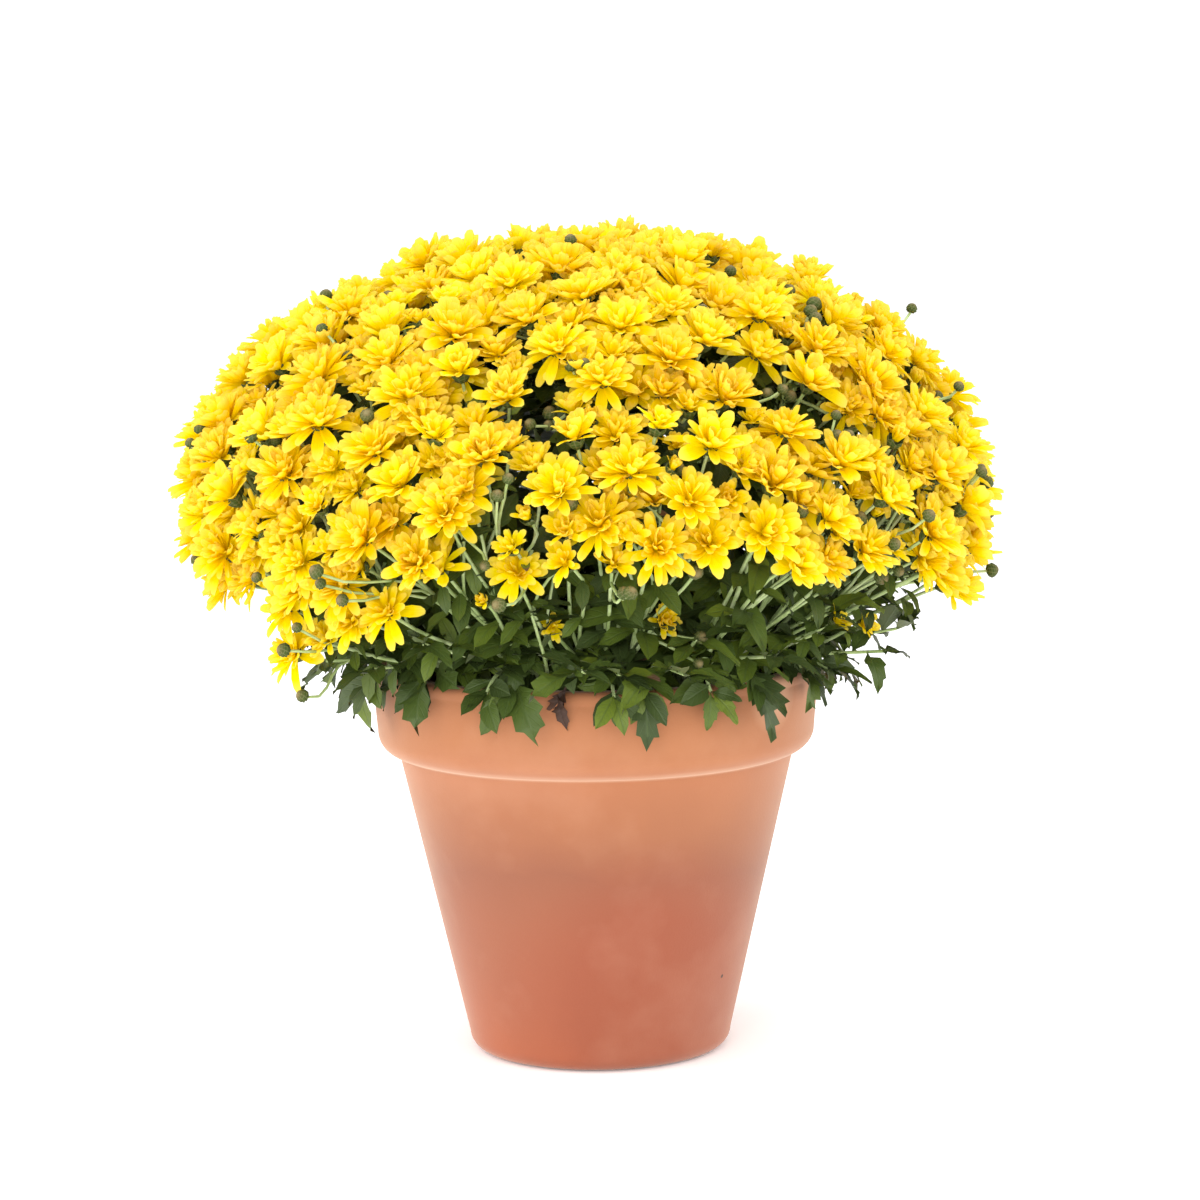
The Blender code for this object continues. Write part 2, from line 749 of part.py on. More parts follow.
def polar(radius, azimuth, z):
    return Vector((radius * math.cos(azimuth), radius * math.sin(azimuth), z))


def route_stems(cells):
    """Gives each spray its fork under the middle of its blooms, and the line of its stem up to it."""
    for cell in cells:
        foot = polar(RINGS[cell["ring"]]["soil_radius"], cell["azimuth"], SOIL_TOP + STEM_RISE)
        inward = (foot + Vector((0, 0, 0.05)) - cell["middle"]).normalized()
        fork = keep_in(cell["planes"], cell["middle"] + inward * FORK_DEPTH, 0.004)
        bend = foot + Vector((0, 0, 0.35 * (fork.z - foot.z)))
        cell["fork"] = fork
        cell["path"] = stem_path([foot, bend, fork])


def make_hole(cell, holes):
    """The cutter for one stem's hole: four-sided, a little wider and deeper than the buried stem."""
    radius = (STEM_RADIUS + CLEARANCE) / math.cos(math.pi / HOLE_SIDES)
    top, bottom = SOIL_TOP + 0.010, SOIL_TOP - ROOT_DEPTH - CLEARANCE
    size = {"segments": HOLE_SIDES, "radius1": radius, "radius2": radius, "depth": top - bottom}
    bm = bmesh.new()
    bmesh.ops.create_cone(bm, cap_ends=True, **size)
    foot = cell["path"][0]
    bmesh.ops.translate(bm, verts=bm.verts, vec=(foot.x, foot.y, (top + bottom) / 2))
    lean(bm.verts)
    mesh = finished(bm, "stem_hole")
    cutter = bpy.data.objects.new(f"stem_hole_{cell['ring']}_{cell['k']}", mesh)
    cutter.hide_render = True
    cutter.display_type = "WIRE"
    holes.objects.link(cutter)


def main():
    clear_scene()
    plant = new_collection("pot_chrysanthemum")
    holes = new_collection("stem_holes")
    holes.hide_render = True
    cells = make_cells()
    place_blooms(cells)
    route_stems(cells)
    make_pot(plant)
    for number, cell in enumerate(cells, 1):
        set_axes(cell)
        link_blooms(cell)
        make_spray(cell, f"spray_{number:02d}_stem_and_leaves", plant)
        make_blooms(cell, f"spray_{number:02d}_blooms", plant)
        make_hole(cell, holes)
    make_soil(plant, holes)


main()
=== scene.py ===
"""A garden chrysanthemum in full yellow flower in a rimmed terracotta pot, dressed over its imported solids.

It follows the plant as it is put together: the pot, the soil, the places of the sprays, the flower heads,
the stems that carry them, the buds and cups, the leaves, and then the room.
"""

import json
import math
import random

import bmesh
import bpy
from mathutils import Matrix, Vector

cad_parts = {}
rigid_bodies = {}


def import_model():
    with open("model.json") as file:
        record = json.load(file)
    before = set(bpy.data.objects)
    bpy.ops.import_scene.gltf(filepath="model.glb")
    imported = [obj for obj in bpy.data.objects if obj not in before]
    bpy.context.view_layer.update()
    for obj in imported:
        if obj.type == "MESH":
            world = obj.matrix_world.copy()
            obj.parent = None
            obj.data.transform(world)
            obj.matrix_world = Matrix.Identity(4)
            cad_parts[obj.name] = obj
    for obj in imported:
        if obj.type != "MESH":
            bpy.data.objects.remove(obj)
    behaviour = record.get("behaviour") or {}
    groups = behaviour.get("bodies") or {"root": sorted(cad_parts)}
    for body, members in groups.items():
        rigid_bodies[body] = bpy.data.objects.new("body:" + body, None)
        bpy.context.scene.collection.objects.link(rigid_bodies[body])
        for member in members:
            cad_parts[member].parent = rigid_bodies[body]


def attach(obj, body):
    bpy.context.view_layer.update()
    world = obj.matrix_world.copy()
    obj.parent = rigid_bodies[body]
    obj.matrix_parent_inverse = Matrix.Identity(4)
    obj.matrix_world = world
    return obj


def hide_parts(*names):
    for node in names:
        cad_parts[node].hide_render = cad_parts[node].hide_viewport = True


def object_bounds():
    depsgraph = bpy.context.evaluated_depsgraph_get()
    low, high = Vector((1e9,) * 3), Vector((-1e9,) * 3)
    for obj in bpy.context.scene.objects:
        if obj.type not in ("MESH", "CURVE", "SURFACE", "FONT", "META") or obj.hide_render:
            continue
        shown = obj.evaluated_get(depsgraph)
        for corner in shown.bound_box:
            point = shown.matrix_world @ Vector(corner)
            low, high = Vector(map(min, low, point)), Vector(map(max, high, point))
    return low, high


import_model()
solid_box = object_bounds()


# The pot
# Thrown red clay, fired without a glaze, with a deep band round its rim and a rounded bead along its lip.
# The lower body has drawn up damp from the soil, so it is redder there, with a faint lime bloom over it.

POT_HEIGHT = 0.223
POT_SIDES = 144
RIM_RADIUS = 0.1275
RIM_BAND = 0.051
RIM_TAPER = 0.0033
WALL = 0.0105
BODY_TOP_RADIUS = 0.1118
BODY_FOOT_RADIUS = 0.0749
FOOT_ROUND = 0.010
FLOOR_THICKNESS = 0.012
DRAIN_RADIUS = 0.011
DRAIN_BEVEL = 0.0015
BAND_CORNER = 0.0125
INNER_CORNER = 0.004
LIP_ROUND = 0.0035
SEAM_GAP = 0.00005
# The bead under the lip, as (how far in from the rim, how far down from the top), and where the band goes on
BEAD = ((0.0001, 0.0050), (0.0009, 0.0073), (0.0012, 0.0085), (0.0010, 0.0097))
BEAD_FOOT = (0.0010, 0.0105)
# The corner under the band, as (how far out from the body, how far down from the band)
UNDER_BAND = ((0.0006, 0.0004), (0.0, 0.0022))
# Middles of a damp patch, a dark speck and a rubbed patch on the clay
DAMP_PLACE = (0.028, -0.080, 0.048)
SPECK_PLACE = (0.0688, -0.0477, 0.0484)
RUB_PLACE = (0.0987, -0.0788, 0.2116)
# Heights over which a painted highlight lightens the clay along the band's lower edge, where it catches the
# light, and then stops
PAINTED_STEP_HIGHLIGHT = (0.1708, 0.1718, 0.1726, 0.1762)


def arc(centre, radius, start, end, count):
    """Points of an arc in the profile's plane, angles in degrees from +r, anticlockwise towards +z."""
    turns = [math.radians(start + (end - start) * i / (count - 1)) for i in range(count)]
    return [(centre[0] + radius * math.cos(a), centre[1] + radius * math.sin(a)) for a in turns]


def straight(start, end, count):
    """Points between two profile points, without the ends."""
    shares = [i / (count + 1) for i in range(1, count + 1)]
    return [(start[0] + (end[0] - start[0]) * s, start[1] + (end[1] - start[1]) * s) for s in shares]


def linked(name, data):
    """A new object that holds the data, in the scene."""
    made = bpy.data.objects.new(name, data)
    bpy.context.scene.collection.objects.link(made)
    return made


def kept_result(helper):
    """What the helper's modifier makes, as a plain mesh object that takes its place."""
    name = helper.name
    graph = bpy.context.evaluated_depsgraph_get()
    made = bpy.data.meshes.new_from_object(helper.evaluated_get(graph))
    bpy.data.objects.remove(helper, do_unlink=True)
    return linked(name, made)


def turned(name, profile, sides, closed):
    """A profile of (radius, height) points, its outer side running down, turned round the pot's axis."""
    mesh = bpy.data.meshes.new(name)
    edges = [(i, i + 1) for i in range(len(profile) - 1)]
    if closed:
        edges.append((len(profile) - 1, 0))
    mesh.from_pydata([(r, 0, z) for r, z in profile], edges, [])
    helper = linked(name, mesh)
    screw = helper.modifiers.new("turn", "SCREW")
    screw.steps = screw.render_steps = sides
    screw.use_merge_vertices = True
    screw.merge_threshold = SEAM_GAP
    screw.use_smooth_shade = True
    return kept_result(helper)


def add_node(tree, kind, inputs=None, **settings):
    """A node of the tree. Each input takes a value, or the output socket that feeds it."""
    made = tree.nodes.new(kind)
    for key, value in settings.items():
        setattr(made, key, value)
    for key, value in (inputs or {}).items():
        socket = made.inputs[key]
        if isinstance(value, bpy.types.NodeSocket):
            tree.links.new(value, socket)
        else:
            socket.default_value = value
    return made


def number(tree, operation, *values):
    """The result of a sum on one to three values or sockets."""
    return add_node(tree, "ShaderNodeMath", dict(enumerate(values)), operation=operation).outputs[0]


def between(tree, share, first, second):
    """The number at this share of the way from the first to the second."""
    return add_node(tree, "ShaderNodeMix", {0: share, 2: first, 3: second}).outputs[0]


def spread(tree, value, low, high, to_low=0.0, to_high=1.0):
    """The value stretched so that low and high come out as 0 and 1, or as the last two numbers."""
    ends = {"From Min": low, "From Max": high, "To Min": to_low, "To Max": to_high}
    return add_node(tree, "ShaderNodeMapRange", {"Value": value, **ends}).outputs["Result"]


def principled(name, roughness, specular):
    """A material with one Principled shader, and its node tree."""
    made = bpy.data.materials.new(name)
    made.use_nodes = True
    tree = made.node_tree
    shader = tree.nodes["Principled BSDF"]
    shader.inputs["Roughness"].default_value = roughness
    shader.inputs["Specular IOR Level"].default_value = specular
    return made, tree, shader


def ramp(tree, factor, stops):
    """A colour ramp through stops of (place, (red, green, blue))."""
    made = add_node(tree, "ShaderNodeValToRGB", {"Fac": factor})
    elements = made.color_ramp.elements
    while len(elements) < len(stops):
        elements.new(0.5)
    for element, (place, colour) in zip(elements, stops):
        element.position = place
        element.color = (*colour, 1)
    return made.outputs["Color"]


def coat(tree, under, colour, mask, most=1.0):
    """The colour over what is under it where the mask is 1, and there as far as the last number says."""
    share = mask if most == 1 else number(tree, "MULTIPLY", mask, most)
    made = add_node(tree, "ShaderNodeMix", {0: share, 6: under, 7: (*colour, 1)}, data_type="RGBA")
    return made.outputs[2]


def emboss(tree, shader, height, strength, distance):
    """Fine relief in what the shader takes for its surface."""
    bump = add_node(tree, "ShaderNodeBump", {"Height": height, "Strength": strength, "Distance": distance})
    tree.links.new(bump.outputs["Normal"], shader.inputs["Normal"])


def mottle_group():
    """Cloudy patches over the surface at a coarse and a fine scale, used on clay, soil, leaves and stems."""
    group = bpy.data.node_groups.new("mottle", "ShaderNodeTree")
    for name in ("Coarse Scale", "Fine Scale", "Fine Share"):
        group.interface.new_socket(name, in_out="INPUT", socket_type="NodeSocketFloat")
    group.interface.new_socket("Patches", in_out="OUTPUT", socket_type="NodeSocketFloat")
    entry = group.nodes.new("NodeGroupInput")
    place = add_node(group, "ShaderNodeTexCoord")
    noises = []
    for name in ("Coarse Scale", "Fine Scale"):
        inputs = {"Vector": place.outputs["Object"], "Scale": entry.outputs[name], "Detail": 4.0}
        noises.append(add_node(group, "ShaderNodeTexNoise", inputs).outputs["Fac"])
    mixed = between(group, entry.outputs["Fine Share"], *noises)
    leave = group.nodes.new("NodeGroupOutput")
    group.links.new(mixed, leave.inputs["Patches"])
    return group


MOTTLE = mottle_group()


def mottle(tree, coarse, fine, fine_share):
    """The patches of the mottle group, at this material's scales."""
    inputs = {"Coarse Scale": coarse, "Fine Scale": fine, "Fine Share": fine_share}
    made = tree.nodes.new("ShaderNodeGroup")
    made.node_tree = MOTTLE
    for name, value in inputs.items():
        made.inputs[name].default_value = value
    return made.outputs["Patches"]


def distance(tree, place, middle):
    """How far the surface lies from the middle of a patch."""
    measured = add_node(tree, "ShaderNodeVectorMath", {0: place, 1: middle}, operation="DISTANCE")
    return measured.outputs["Value"]


def terracotta_material():
    made, tree, shader = principled("terracotta", 0.82, 0.28)
    shader.inputs["Sheen Weight"].default_value = 0.38
    shader.inputs["Sheen Roughness"].default_value = 0.45
    shader.inputs["Sheen Tint"].default_value = (1.0, 0.86, 0.74, 1)
    place = add_node(tree, "ShaderNodeTexCoord").outputs["Object"]
    height = add_node(tree, "ShaderNodeSeparateXYZ", {"Vector": place}).outputs["Z"]
    cloud = mottle(tree, 7.0, 22.0, 0.15)
    clay = ramp(tree, spread(tree, number(tree, "MULTIPLY_ADD", cloud, 0.10, height), 0.05, 0.29), [
        (0.00, (0.342, 0.092, 0.039)),
        (0.25, (0.280, 0.090, 0.046)),
        (0.45, (0.240, 0.085, 0.046)),
        (0.60, (0.308, 0.116, 0.054)),
        (0.70, (0.342, 0.130, 0.059)),
        (0.78, (0.358, 0.139, 0.059)),
    ])
    # A painted highlight: a pale line along the band's lower edge, where the light catches it
    low, full_low, full_high, high = PAINTED_STEP_HIGHLIGHT
    low_side = spread(tree, height, low, full_low)
    high_side = spread(tree, height, high, full_high)
    painted_step_highlight = number(tree, "MULTIPLY", low_side, high_side)
    clay = coat(tree, clay, (0.726, 0.454, 0.289), painted_step_highlight, 0.32)
    ragged = number(tree, "MULTIPLY_ADD", cloud, -0.08, distance(tree, place, DAMP_PLACE))
    clay = coat(tree, clay, (0.262, 0.070, 0.035), spread(tree, ragged, 0.052, 0.000), 0.85)
    lime = spread(tree, mottle(tree, 11.0, 60.0, 0.2), 0.50, 0.85)
    clay = coat(tree, clay, (0.612, 0.347, 0.234), lime, 0.22)
    rubbed = spread(tree, distance(tree, place, RUB_PLACE), 0.021, 0.006)
    clay = coat(tree, clay, (0.711, 0.454, 0.289), rubbed, 0.45)
    speck = spread(tree, distance(tree, place, SPECK_PLACE), 0.0014, 0.0008)
    clay = coat(tree, clay, (0.040, 0.020, 0.014), speck)
    tree.links.new(clay, shader.inputs["Base Color"])
    flattened = add_node(tree, "ShaderNodeMapping", {"Vector": place, "Scale": (6, 6, 420)}).outputs["Vector"]
    rings = add_node(tree, "ShaderNodeTexNoise", {"Vector": flattened, "Scale": 1.0, "Detail": 2.0})
    grain = add_node(tree, "ShaderNodeTexNoise", {"Vector": place, "Scale": 900.0, "Detail": 3.0})
    grain = grain.outputs["Fac"]
    emboss(tree, shader, between(tree, 0.35, grain, rings.outputs["Fac"]), 0.25, 0.0004)
    tree.links.new(spread(tree, grain, 0.0, 1.0, 0.74, 0.92), shader.inputs["Roughness"])
    return made


band_foot = POT_HEIGHT - RIM_BAND
inner_foot = BODY_FOOT_RADIUS - WALL
band_edge = RIM_RADIUS - RIM_TAPER
body_top = (BODY_TOP_RADIUS, band_foot - UNDER_BAND[-1][1])
body_foot = (BODY_FOOT_RADIUS, FOOT_ROUND)
wall_top = (BODY_TOP_RADIUS - WALL, band_foot)
wall_foot = (inner_foot, FLOOR_THICKNESS + INNER_CORNER)
band_top = (RIM_RADIUS - BEAD_FOOT[0], POT_HEIGHT - BEAD_FOOT[1])
pot_profile = [
    *arc((RIM_RADIUS - WALL + LIP_ROUND, POT_HEIGHT - LIP_ROUND), LIP_ROUND, 180, 90, 5),
    *arc((RIM_RADIUS - LIP_ROUND, POT_HEIGHT - LIP_ROUND), LIP_ROUND, 90, 0, 6),
    *[(RIM_RADIUS - inwards, POT_HEIGHT - down) for inwards, down in BEAD],
    *straight(band_top, (band_edge, band_foot + BAND_CORNER), 3),
    *arc((band_edge - BAND_CORNER, band_foot + BAND_CORNER), BAND_CORNER, 0, -84, 10),
    *[(BODY_TOP_RADIUS + out, band_foot - down) for out, down in UNDER_BAND],
    *straight(body_top, body_foot, 12),
    *arc((BODY_FOOT_RADIUS - FOOT_ROUND, FOOT_ROUND), FOOT_ROUND, 0, -90, 8),
    *straight((BODY_FOOT_RADIUS - FOOT_ROUND, 0), (DRAIN_RADIUS + DRAIN_BEVEL, 0), 3),
    (DRAIN_RADIUS + DRAIN_BEVEL, 0),
    (DRAIN_RADIUS, DRAIN_BEVEL),
    (DRAIN_RADIUS, FLOOR_THICKNESS),
    (inner_foot - INNER_CORNER, FLOOR_THICKNESS),
    wall_foot,
    *straight(wall_foot, wall_top, 5),
    wall_top,
]
pot = turned("clay_pot", pot_profile, POT_SIDES, closed=True)
pot.data.materials.append(terracotta_material())
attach(pot, "root")
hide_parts("terracotta_pot")


# The soil
# Dark peat with bits of bark, filled to 2 cm under the lip and heaped a little in the middle.
# It is a turned fill inside the wall, with crumbs of all sizes scattered over its face.

SOIL_TOP = 0.203
SOIL_CROWN = 0.003
SOIL_SHOULDER = 0.020
SHOULDER_RISE = 0.6
SOIL_SIDES = 48
CLEARANCE = 0.0003
CRUMB_RADIUS = 0.0022
CRUMB_STRETCH = ((0.4, 1.6), (0.4, 1.3), (0.3, 0.9))
CRUMBS_PER_SQUARE_METRE = 26000.0
CRUMB_SEED = 5
# The least upward share of a face's normal where crumbs lie
CRUMB_SLOPE = 0.7


def soil_material():
    made, tree, shader = principled("potting_soil", 0.95, 0.15)
    dirt = ramp(tree, spread(tree, mottle(tree, 90.0, 420.0, 0.5), 0.36, 0.64), [
        (0.0, (0.012, 0.008, 0.006)),
        (0.6, (0.040, 0.027, 0.018)),
        (1.0, (0.095, 0.066, 0.043)),
    ])
    tree.links.new(dirt, shader.inputs["Base Color"])
    emboss(tree, shader, mottle(tree, 300.0, 900.0, 0.5), 1.0, 0.0012)
    return made


def new_tree(name, sockets):
    """A geometry tree with these inputs as {label: kind}, and the sockets that give their values."""
    tree = bpy.data.node_groups.new(name, "GeometryNodeTree")
    for label, kind in sockets.items():
        tree.interface.new_socket(label, in_out="INPUT", socket_type="NodeSocket" + kind)
    tree.interface.new_socket("Geometry", in_out="OUTPUT", socket_type="NodeSocketGeometry")
    return tree, tree.nodes.new("NodeGroupInput").outputs


def end_tree(tree, geometry, material):
    """Ends a tree: its instances are made real and the result takes the material."""
    real = add_node(tree, "GeometryNodeRealizeInstances", {"Geometry": geometry}).outputs["Geometry"]
    smooth = add_node(tree, "GeometryNodeSetShadeSmooth", {"Geometry": real}).outputs["Geometry"]
    inked = add_node(tree, "GeometryNodeSetMaterial", {"Geometry": smooth, "Material": material})
    leave = tree.nodes.new("NodeGroupOutput")
    tree.links.new(inked.outputs["Geometry"], leave.inputs["Geometry"])
    return tree


def joined(tree, first, second):
    both = tree.nodes.new("GeometryNodeJoinGeometry")
    tree.links.new(first, both.inputs["Geometry"])
    tree.links.new(second, both.inputs["Geometry"])
    return both.outputs["Geometry"]


def random_value(tree, low, high, seed):
    """A random number for each element, evenly spread between low and high."""
    made = add_node(tree, "FunctionNodeRandomValue", {2: low, 3: high, 8: seed}, data_type="FLOAT")
    return made.outputs[1]


def grown(tree, name, mesh, **inputs):
    """Runs a geometry tree on the mesh with these inputs, and keeps the result as a plain mesh object."""
    helper = linked(name, mesh)
    modifier = helper.modifiers.new("grow", "NODES")
    modifier.node_group = tree
    for item in tree.interface.items_tree:
        label = item.name.lower().replace(" ", "_")
        if item.in_out == "INPUT" and label in inputs:
            modifier[item.identifier] = inputs[label]
    return kept_result(helper)


def crumb_tree():
    """Crumbs over the upward faces of the fill, which stays under them."""
    tree, given = new_tree("soil_crumbs", {
        "Geometry": "Geometry",
        "Density": "Float",
        "Crumb Radius": "Float",
        "Seed": "Int",
        "Material": "Material",
    })
    normal = add_node(tree, "GeometryNodeInputNormal").outputs["Normal"]
    upward = add_node(tree, "ShaderNodeSeparateXYZ", {"Vector": normal}).outputs["Z"]
    top = add_node(tree, "FunctionNodeCompare", {0: upward, 1: CRUMB_SLOPE}, operation="GREATER_THAN")
    scattered = add_node(tree, "GeometryNodeDistributePointsOnFaces", {
        "Mesh": given["Geometry"],
        "Selection": top.outputs[0],
        "Density": given["Density"],
        "Seed": given["Seed"],
    })
    crumb = add_node(tree, "GeometryNodeMeshIcoSphere", {"Radius": given["Crumb Radius"], "Subdivisions": 1})
    stretch = [random_value(tree, low, high, seed) for seed, (low, high) in enumerate(CRUMB_STRETCH, 1)]
    crumbs = add_node(tree, "GeometryNodeInstanceOnPoints", {
        "Points": scattered.outputs["Points"],
        "Instance": crumb.outputs["Mesh"],
        "Rotation": scattered.outputs["Rotation"],
        "Scale": add_node(tree, "ShaderNodeCombineXYZ", dict(enumerate(stretch))).outputs["Vector"],
    })
    return end_tree(tree, joined(tree, given["Geometry"], crumbs.outputs["Instances"]), given["Material"])


lip_inner = RIM_RADIUS - WALL
soil_edge = wall_top[0] + (lip_inner - wall_top[0]) * (SOIL_TOP - band_foot) / RIM_BAND - 2 * CLEARANCE
soil_shoulder = (soil_edge - SOIL_SHOULDER, SOIL_TOP + SOIL_CROWN * SHOULDER_RISE)
soil_profile = [
    (0, SOIL_TOP + SOIL_CROWN),
    *straight((0, SOIL_TOP + SOIL_CROWN), soil_shoulder, 6),
    soil_shoulder,
    (soil_edge, SOIL_TOP - CLEARANCE),
    (wall_top[0] - 2 * CLEARANCE, wall_top[1]),
    (wall_foot[0] - 2 * CLEARANCE, wall_foot[1] + CLEARANCE),
    (inner_foot - INNER_CORNER - 2 * CLEARANCE, FLOOR_THICKNESS + CLEARANCE),
    (0, FLOOR_THICKNESS + CLEARANCE),
]
fill = turned("soil_fill", soil_profile, SOIL_SIDES, closed=False)
fill_mesh = fill.data
bpy.data.objects.remove(fill, do_unlink=True)
soil = grown(
    crumb_tree(),
    "potting_soil",
    fill_mesh,
    density=CRUMBS_PER_SQUARE_METRE,
    crumb_radius=CRUMB_RADIUS,
    seed=CRUMB_SEED,
    material=soil_material(),
)
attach(soil, "root")
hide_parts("soil")


# The places of the sprays
# The plant was pinched back when young, so many stems share out one even dome of flower. Each spray keeps
# to its own part: three at the crown, eight round them, and thirteen at the skirt, which lean out furthest.

DOME_RADIUS = 0.230
DOME_CROWN_Z = 0.469
DOME_WAIST_Z = 0.318
DOME_DROP = 0.150
DOME_POWER = 1.8
DOME_LAST_ANGLE = math.radians(110)
SIDE_SAG = 0.09
LEAN = -0.022
SLOTS = 224
SLOT_DEPTH = 0.008
BLOOM_RADIUS = 0.0222
BLOOM_SIZES = (0.90, 1.08)
BORDER_SHARE = 0.55
KEEP_IN_ROUNDS = 40
KEEP_IN_SLACK = 1e-6
FORK_DEPTH = 0.052
FORK_MARGIN = 0.004
# A fork lies towards a point this far over the foot of its stem, which goes straight up at first
FORK_AIM = 0.05
STEM_UPRIGHT = 0.35
STEM_RISE = 0.007
ROOT_DEPTH = 0.024
SEED = 17
GOLDEN_ANGLE = math.pi * (3 - math.sqrt(5))
RINGS = (
    {"count": 3, "turn": 0.3, "cell_radius": 0.0, "soil_radius": 0.020},
    {"count": 8, "turn": 0.1, "cell_radius": 0.034, "soil_radius": 0.048},
    {"count": 13, "turn": 0.0, "cell_radius": 0.062, "soil_radius": 0.077},
)
OUTERMOST = len(RINGS) - 1
# How far a flower faces out of the dome, along its stalk and up, and how far it strays from that
FACE_OUT = 0.6
FACE_ALONG = 0.5
FACE_UP = 0.18
FACE_STRAY = 0.16


def dome_point(angle, azimuth):
    """A point of the dome, at an angle from its crown."""
    power = 2 / DOME_POWER
    radius = DOME_RADIUS * abs(math.sin(angle)) ** power
    above = math.cos(angle) >= 0
    half_height = DOME_CROWN_Z - DOME_WAIST_Z if above else DOME_DROP
    lift = half_height * abs(math.cos(angle)) ** power
    z = DOME_WAIST_Z + (lift if above else -lift)
    return Vector((radius * math.cos(azimuth), radius * math.sin(azimuth), z))


def dome_normal(angle, azimuth):
    step = 0.01
    along = dome_point(angle + step, azimuth) - dome_point(max(angle - step, 0.001), azimuth)
    across = Vector((-math.sin(azimuth), math.cos(azimuth), 0))
    return along.cross(across).normalized()


def angles_by_area(count):
    """The angle from the crown at each of count equal shares of the dome's area."""
    steps = 400
    areas = [0.0]
    for i in range(steps):
        low = dome_point(DOME_LAST_ANGLE * i / steps, 0)
        high = dome_point(DOME_LAST_ANGLE * (i + 1) / steps, 0)
        areas.append(areas[-1] + (low.x + high.x) * (high - low).length)
    angles, at = [], 0
    for k in range(count):
        wanted = areas[-1] * (k + 0.5) / count
        while areas[at + 1] < wanted:
            at += 1
        share = (wanted - areas[at]) / (areas[at + 1] - areas[at])
        angles.append(DOME_LAST_ANGLE * (at + share) / steps)
    return angles


def ring_planes(count, low, high, turn):
    """The faces of the pyramid between two rings, as (outward normal, distance), one for each outer spray."""
    rise, run = high[1] - low[1], high[0] - low[0]
    slope = math.hypot(rise, run)
    planes = []
    for k in range(count):
        azimuth = turn + 2 * math.pi * k / count
        normal = Vector((math.cos(azimuth) * rise, math.sin(azimuth) * rise, -run)) / slope
        foot = Vector((low[0] * math.cos(azimuth), low[0] * math.sin(azimuth), low[1]))
        planes.append((normal, normal.dot(foot)))
    return planes


def side_planes(count, k, turn):
    """The two upright planes at the sides of spray k of a ring."""
    half = math.pi / count
    azimuth = turn + 2 * half * k
    left, right = azimuth + half, azimuth - half
    return [
        (Vector((-math.sin(left), math.cos(left), 0)), 0.0),
        (Vector((math.sin(right), -math.cos(right), 0)), 0.0),
    ]


def make_sprays():
    """The sprays ring by ring, each with the planes round its part of the dome."""
    counts = [ring["count"] for ring in RINGS]
    shares = angles_by_area(sum(counts))
    pyramids = []
    for i in range(1, len(RINGS)):
        edge = dome_point(shares[sum(counts[:i])], 0)
        shrink = (1 + math.cos(math.pi / counts[i])) / 2
        low = (RINGS[i]["cell_radius"], SOIL_TOP)
        pyramids.append(ring_planes(counts[i], low, (edge.x * shrink, edge.z), RINGS[i]["turn"]))
    found = []
    for i, ring in enumerate(RINGS):
        for k in range(ring["count"]):
            planes = side_planes(ring["count"], k, ring["turn"])
            if i > 0:
                normal, distance_out = pyramids[i - 1][k]
                planes.append((-normal, -distance_out))
            if i < len(pyramids):
                planes += pyramids[i]
            azimuth = ring["turn"] + 2 * math.pi * k / ring["count"]
            found.append({"ring": i, "k": k, "azimuth": azimuth, "planes": planes, "slots": []})
    return found


def keep_in(planes, point, margin):
    """The point, moved back until it lies inside every plane by the margin."""
    kept = point.copy()
    for _ in range(KEEP_IN_ROUNDS):
        moved = False
        for normal, distance_out in planes:
            over = normal.dot(kept) - distance_out + margin
            if over > KEEP_IN_SLACK:
                kept -= normal * (over + KEEP_IN_SLACK)
                moved = True
        if not moved:
            break
    return kept


def any_turn(rng):
    return rng.uniform(0, 2 * math.pi)


def stray(rng, reach):
    """A random way aside, each of its numbers within the reach."""
    return Vector([rng.uniform(-reach, reach) for _ in range(3)])


def place_flowers(sprays):
    """Shares out evenly spaced places on the dome among the sprays. Each spray's outermost holds a bud."""
    rng = random.Random(SEED)
    for i, angle in enumerate(angles_by_area(SLOTS)):
        azimuth = i * GOLDEN_ANGLE
        angle *= 1 + SIDE_SAG * math.cos(2 * azimuth) * (angle / DOME_LAST_ANGLE) ** 2
        point = dome_point(angle, azimuth)
        normal = dome_normal(angle, azimuth)
        spray = min(sprays, key=lambda s: max(n.dot(point) - d for n, d in s["planes"]))
        point -= normal * rng.uniform(0.0, SLOT_DEPTH)
        radius = BLOOM_RADIUS * rng.uniform(*BLOOM_SIZES)
        spray["slots"].append({"point": point, "normal": normal, "radius": radius, "spin": any_turn(rng)})
    for spray in sprays:
        slots = spray["slots"]
        middle = sum((s["point"] for s in slots), Vector()) / len(slots)
        for slot in slots:
            slot["point"] = keep_in(spray["planes"], slot["point"], BORDER_SHARE * slot["radius"])
        slots.sort(key=lambda s: (s["point"] - middle).length)
        spray["middle"] = middle
        spray["flowers"] = slots[:-1]
        spray["bud"] = slots[-1]


def polar(radius, azimuth, z):
    return Vector((radius * math.cos(azimuth), radius * math.sin(azimuth), z))


def bezier(points, share):
    """A point of the smooth curve that the control points pull at."""
    work = list(points)
    while len(work) > 1:
        work = [a.lerp(b, share) for a, b in zip(work, work[1:])]
    return work[0]


def route_stems(sprays):
    """Gives each spray its fork under the middle of its flowers, and the curve of its stem up to it."""
    for spray in sprays:
        foot = polar(RINGS[spray["ring"]]["soil_radius"], spray["azimuth"], SOIL_TOP + STEM_RISE)
        inward = (foot + Vector((0, 0, FORK_AIM)) - spray["middle"]).normalized()
        fork = keep_in(spray["planes"], spray["middle"] + inward * FORK_DEPTH, FORK_MARGIN)
        bend = foot + Vector((0, 0, STEM_UPRIGHT * (fork.z - foot.z)))
        spray["fork"] = fork
        spray["curve"] = [foot, bend, fork]


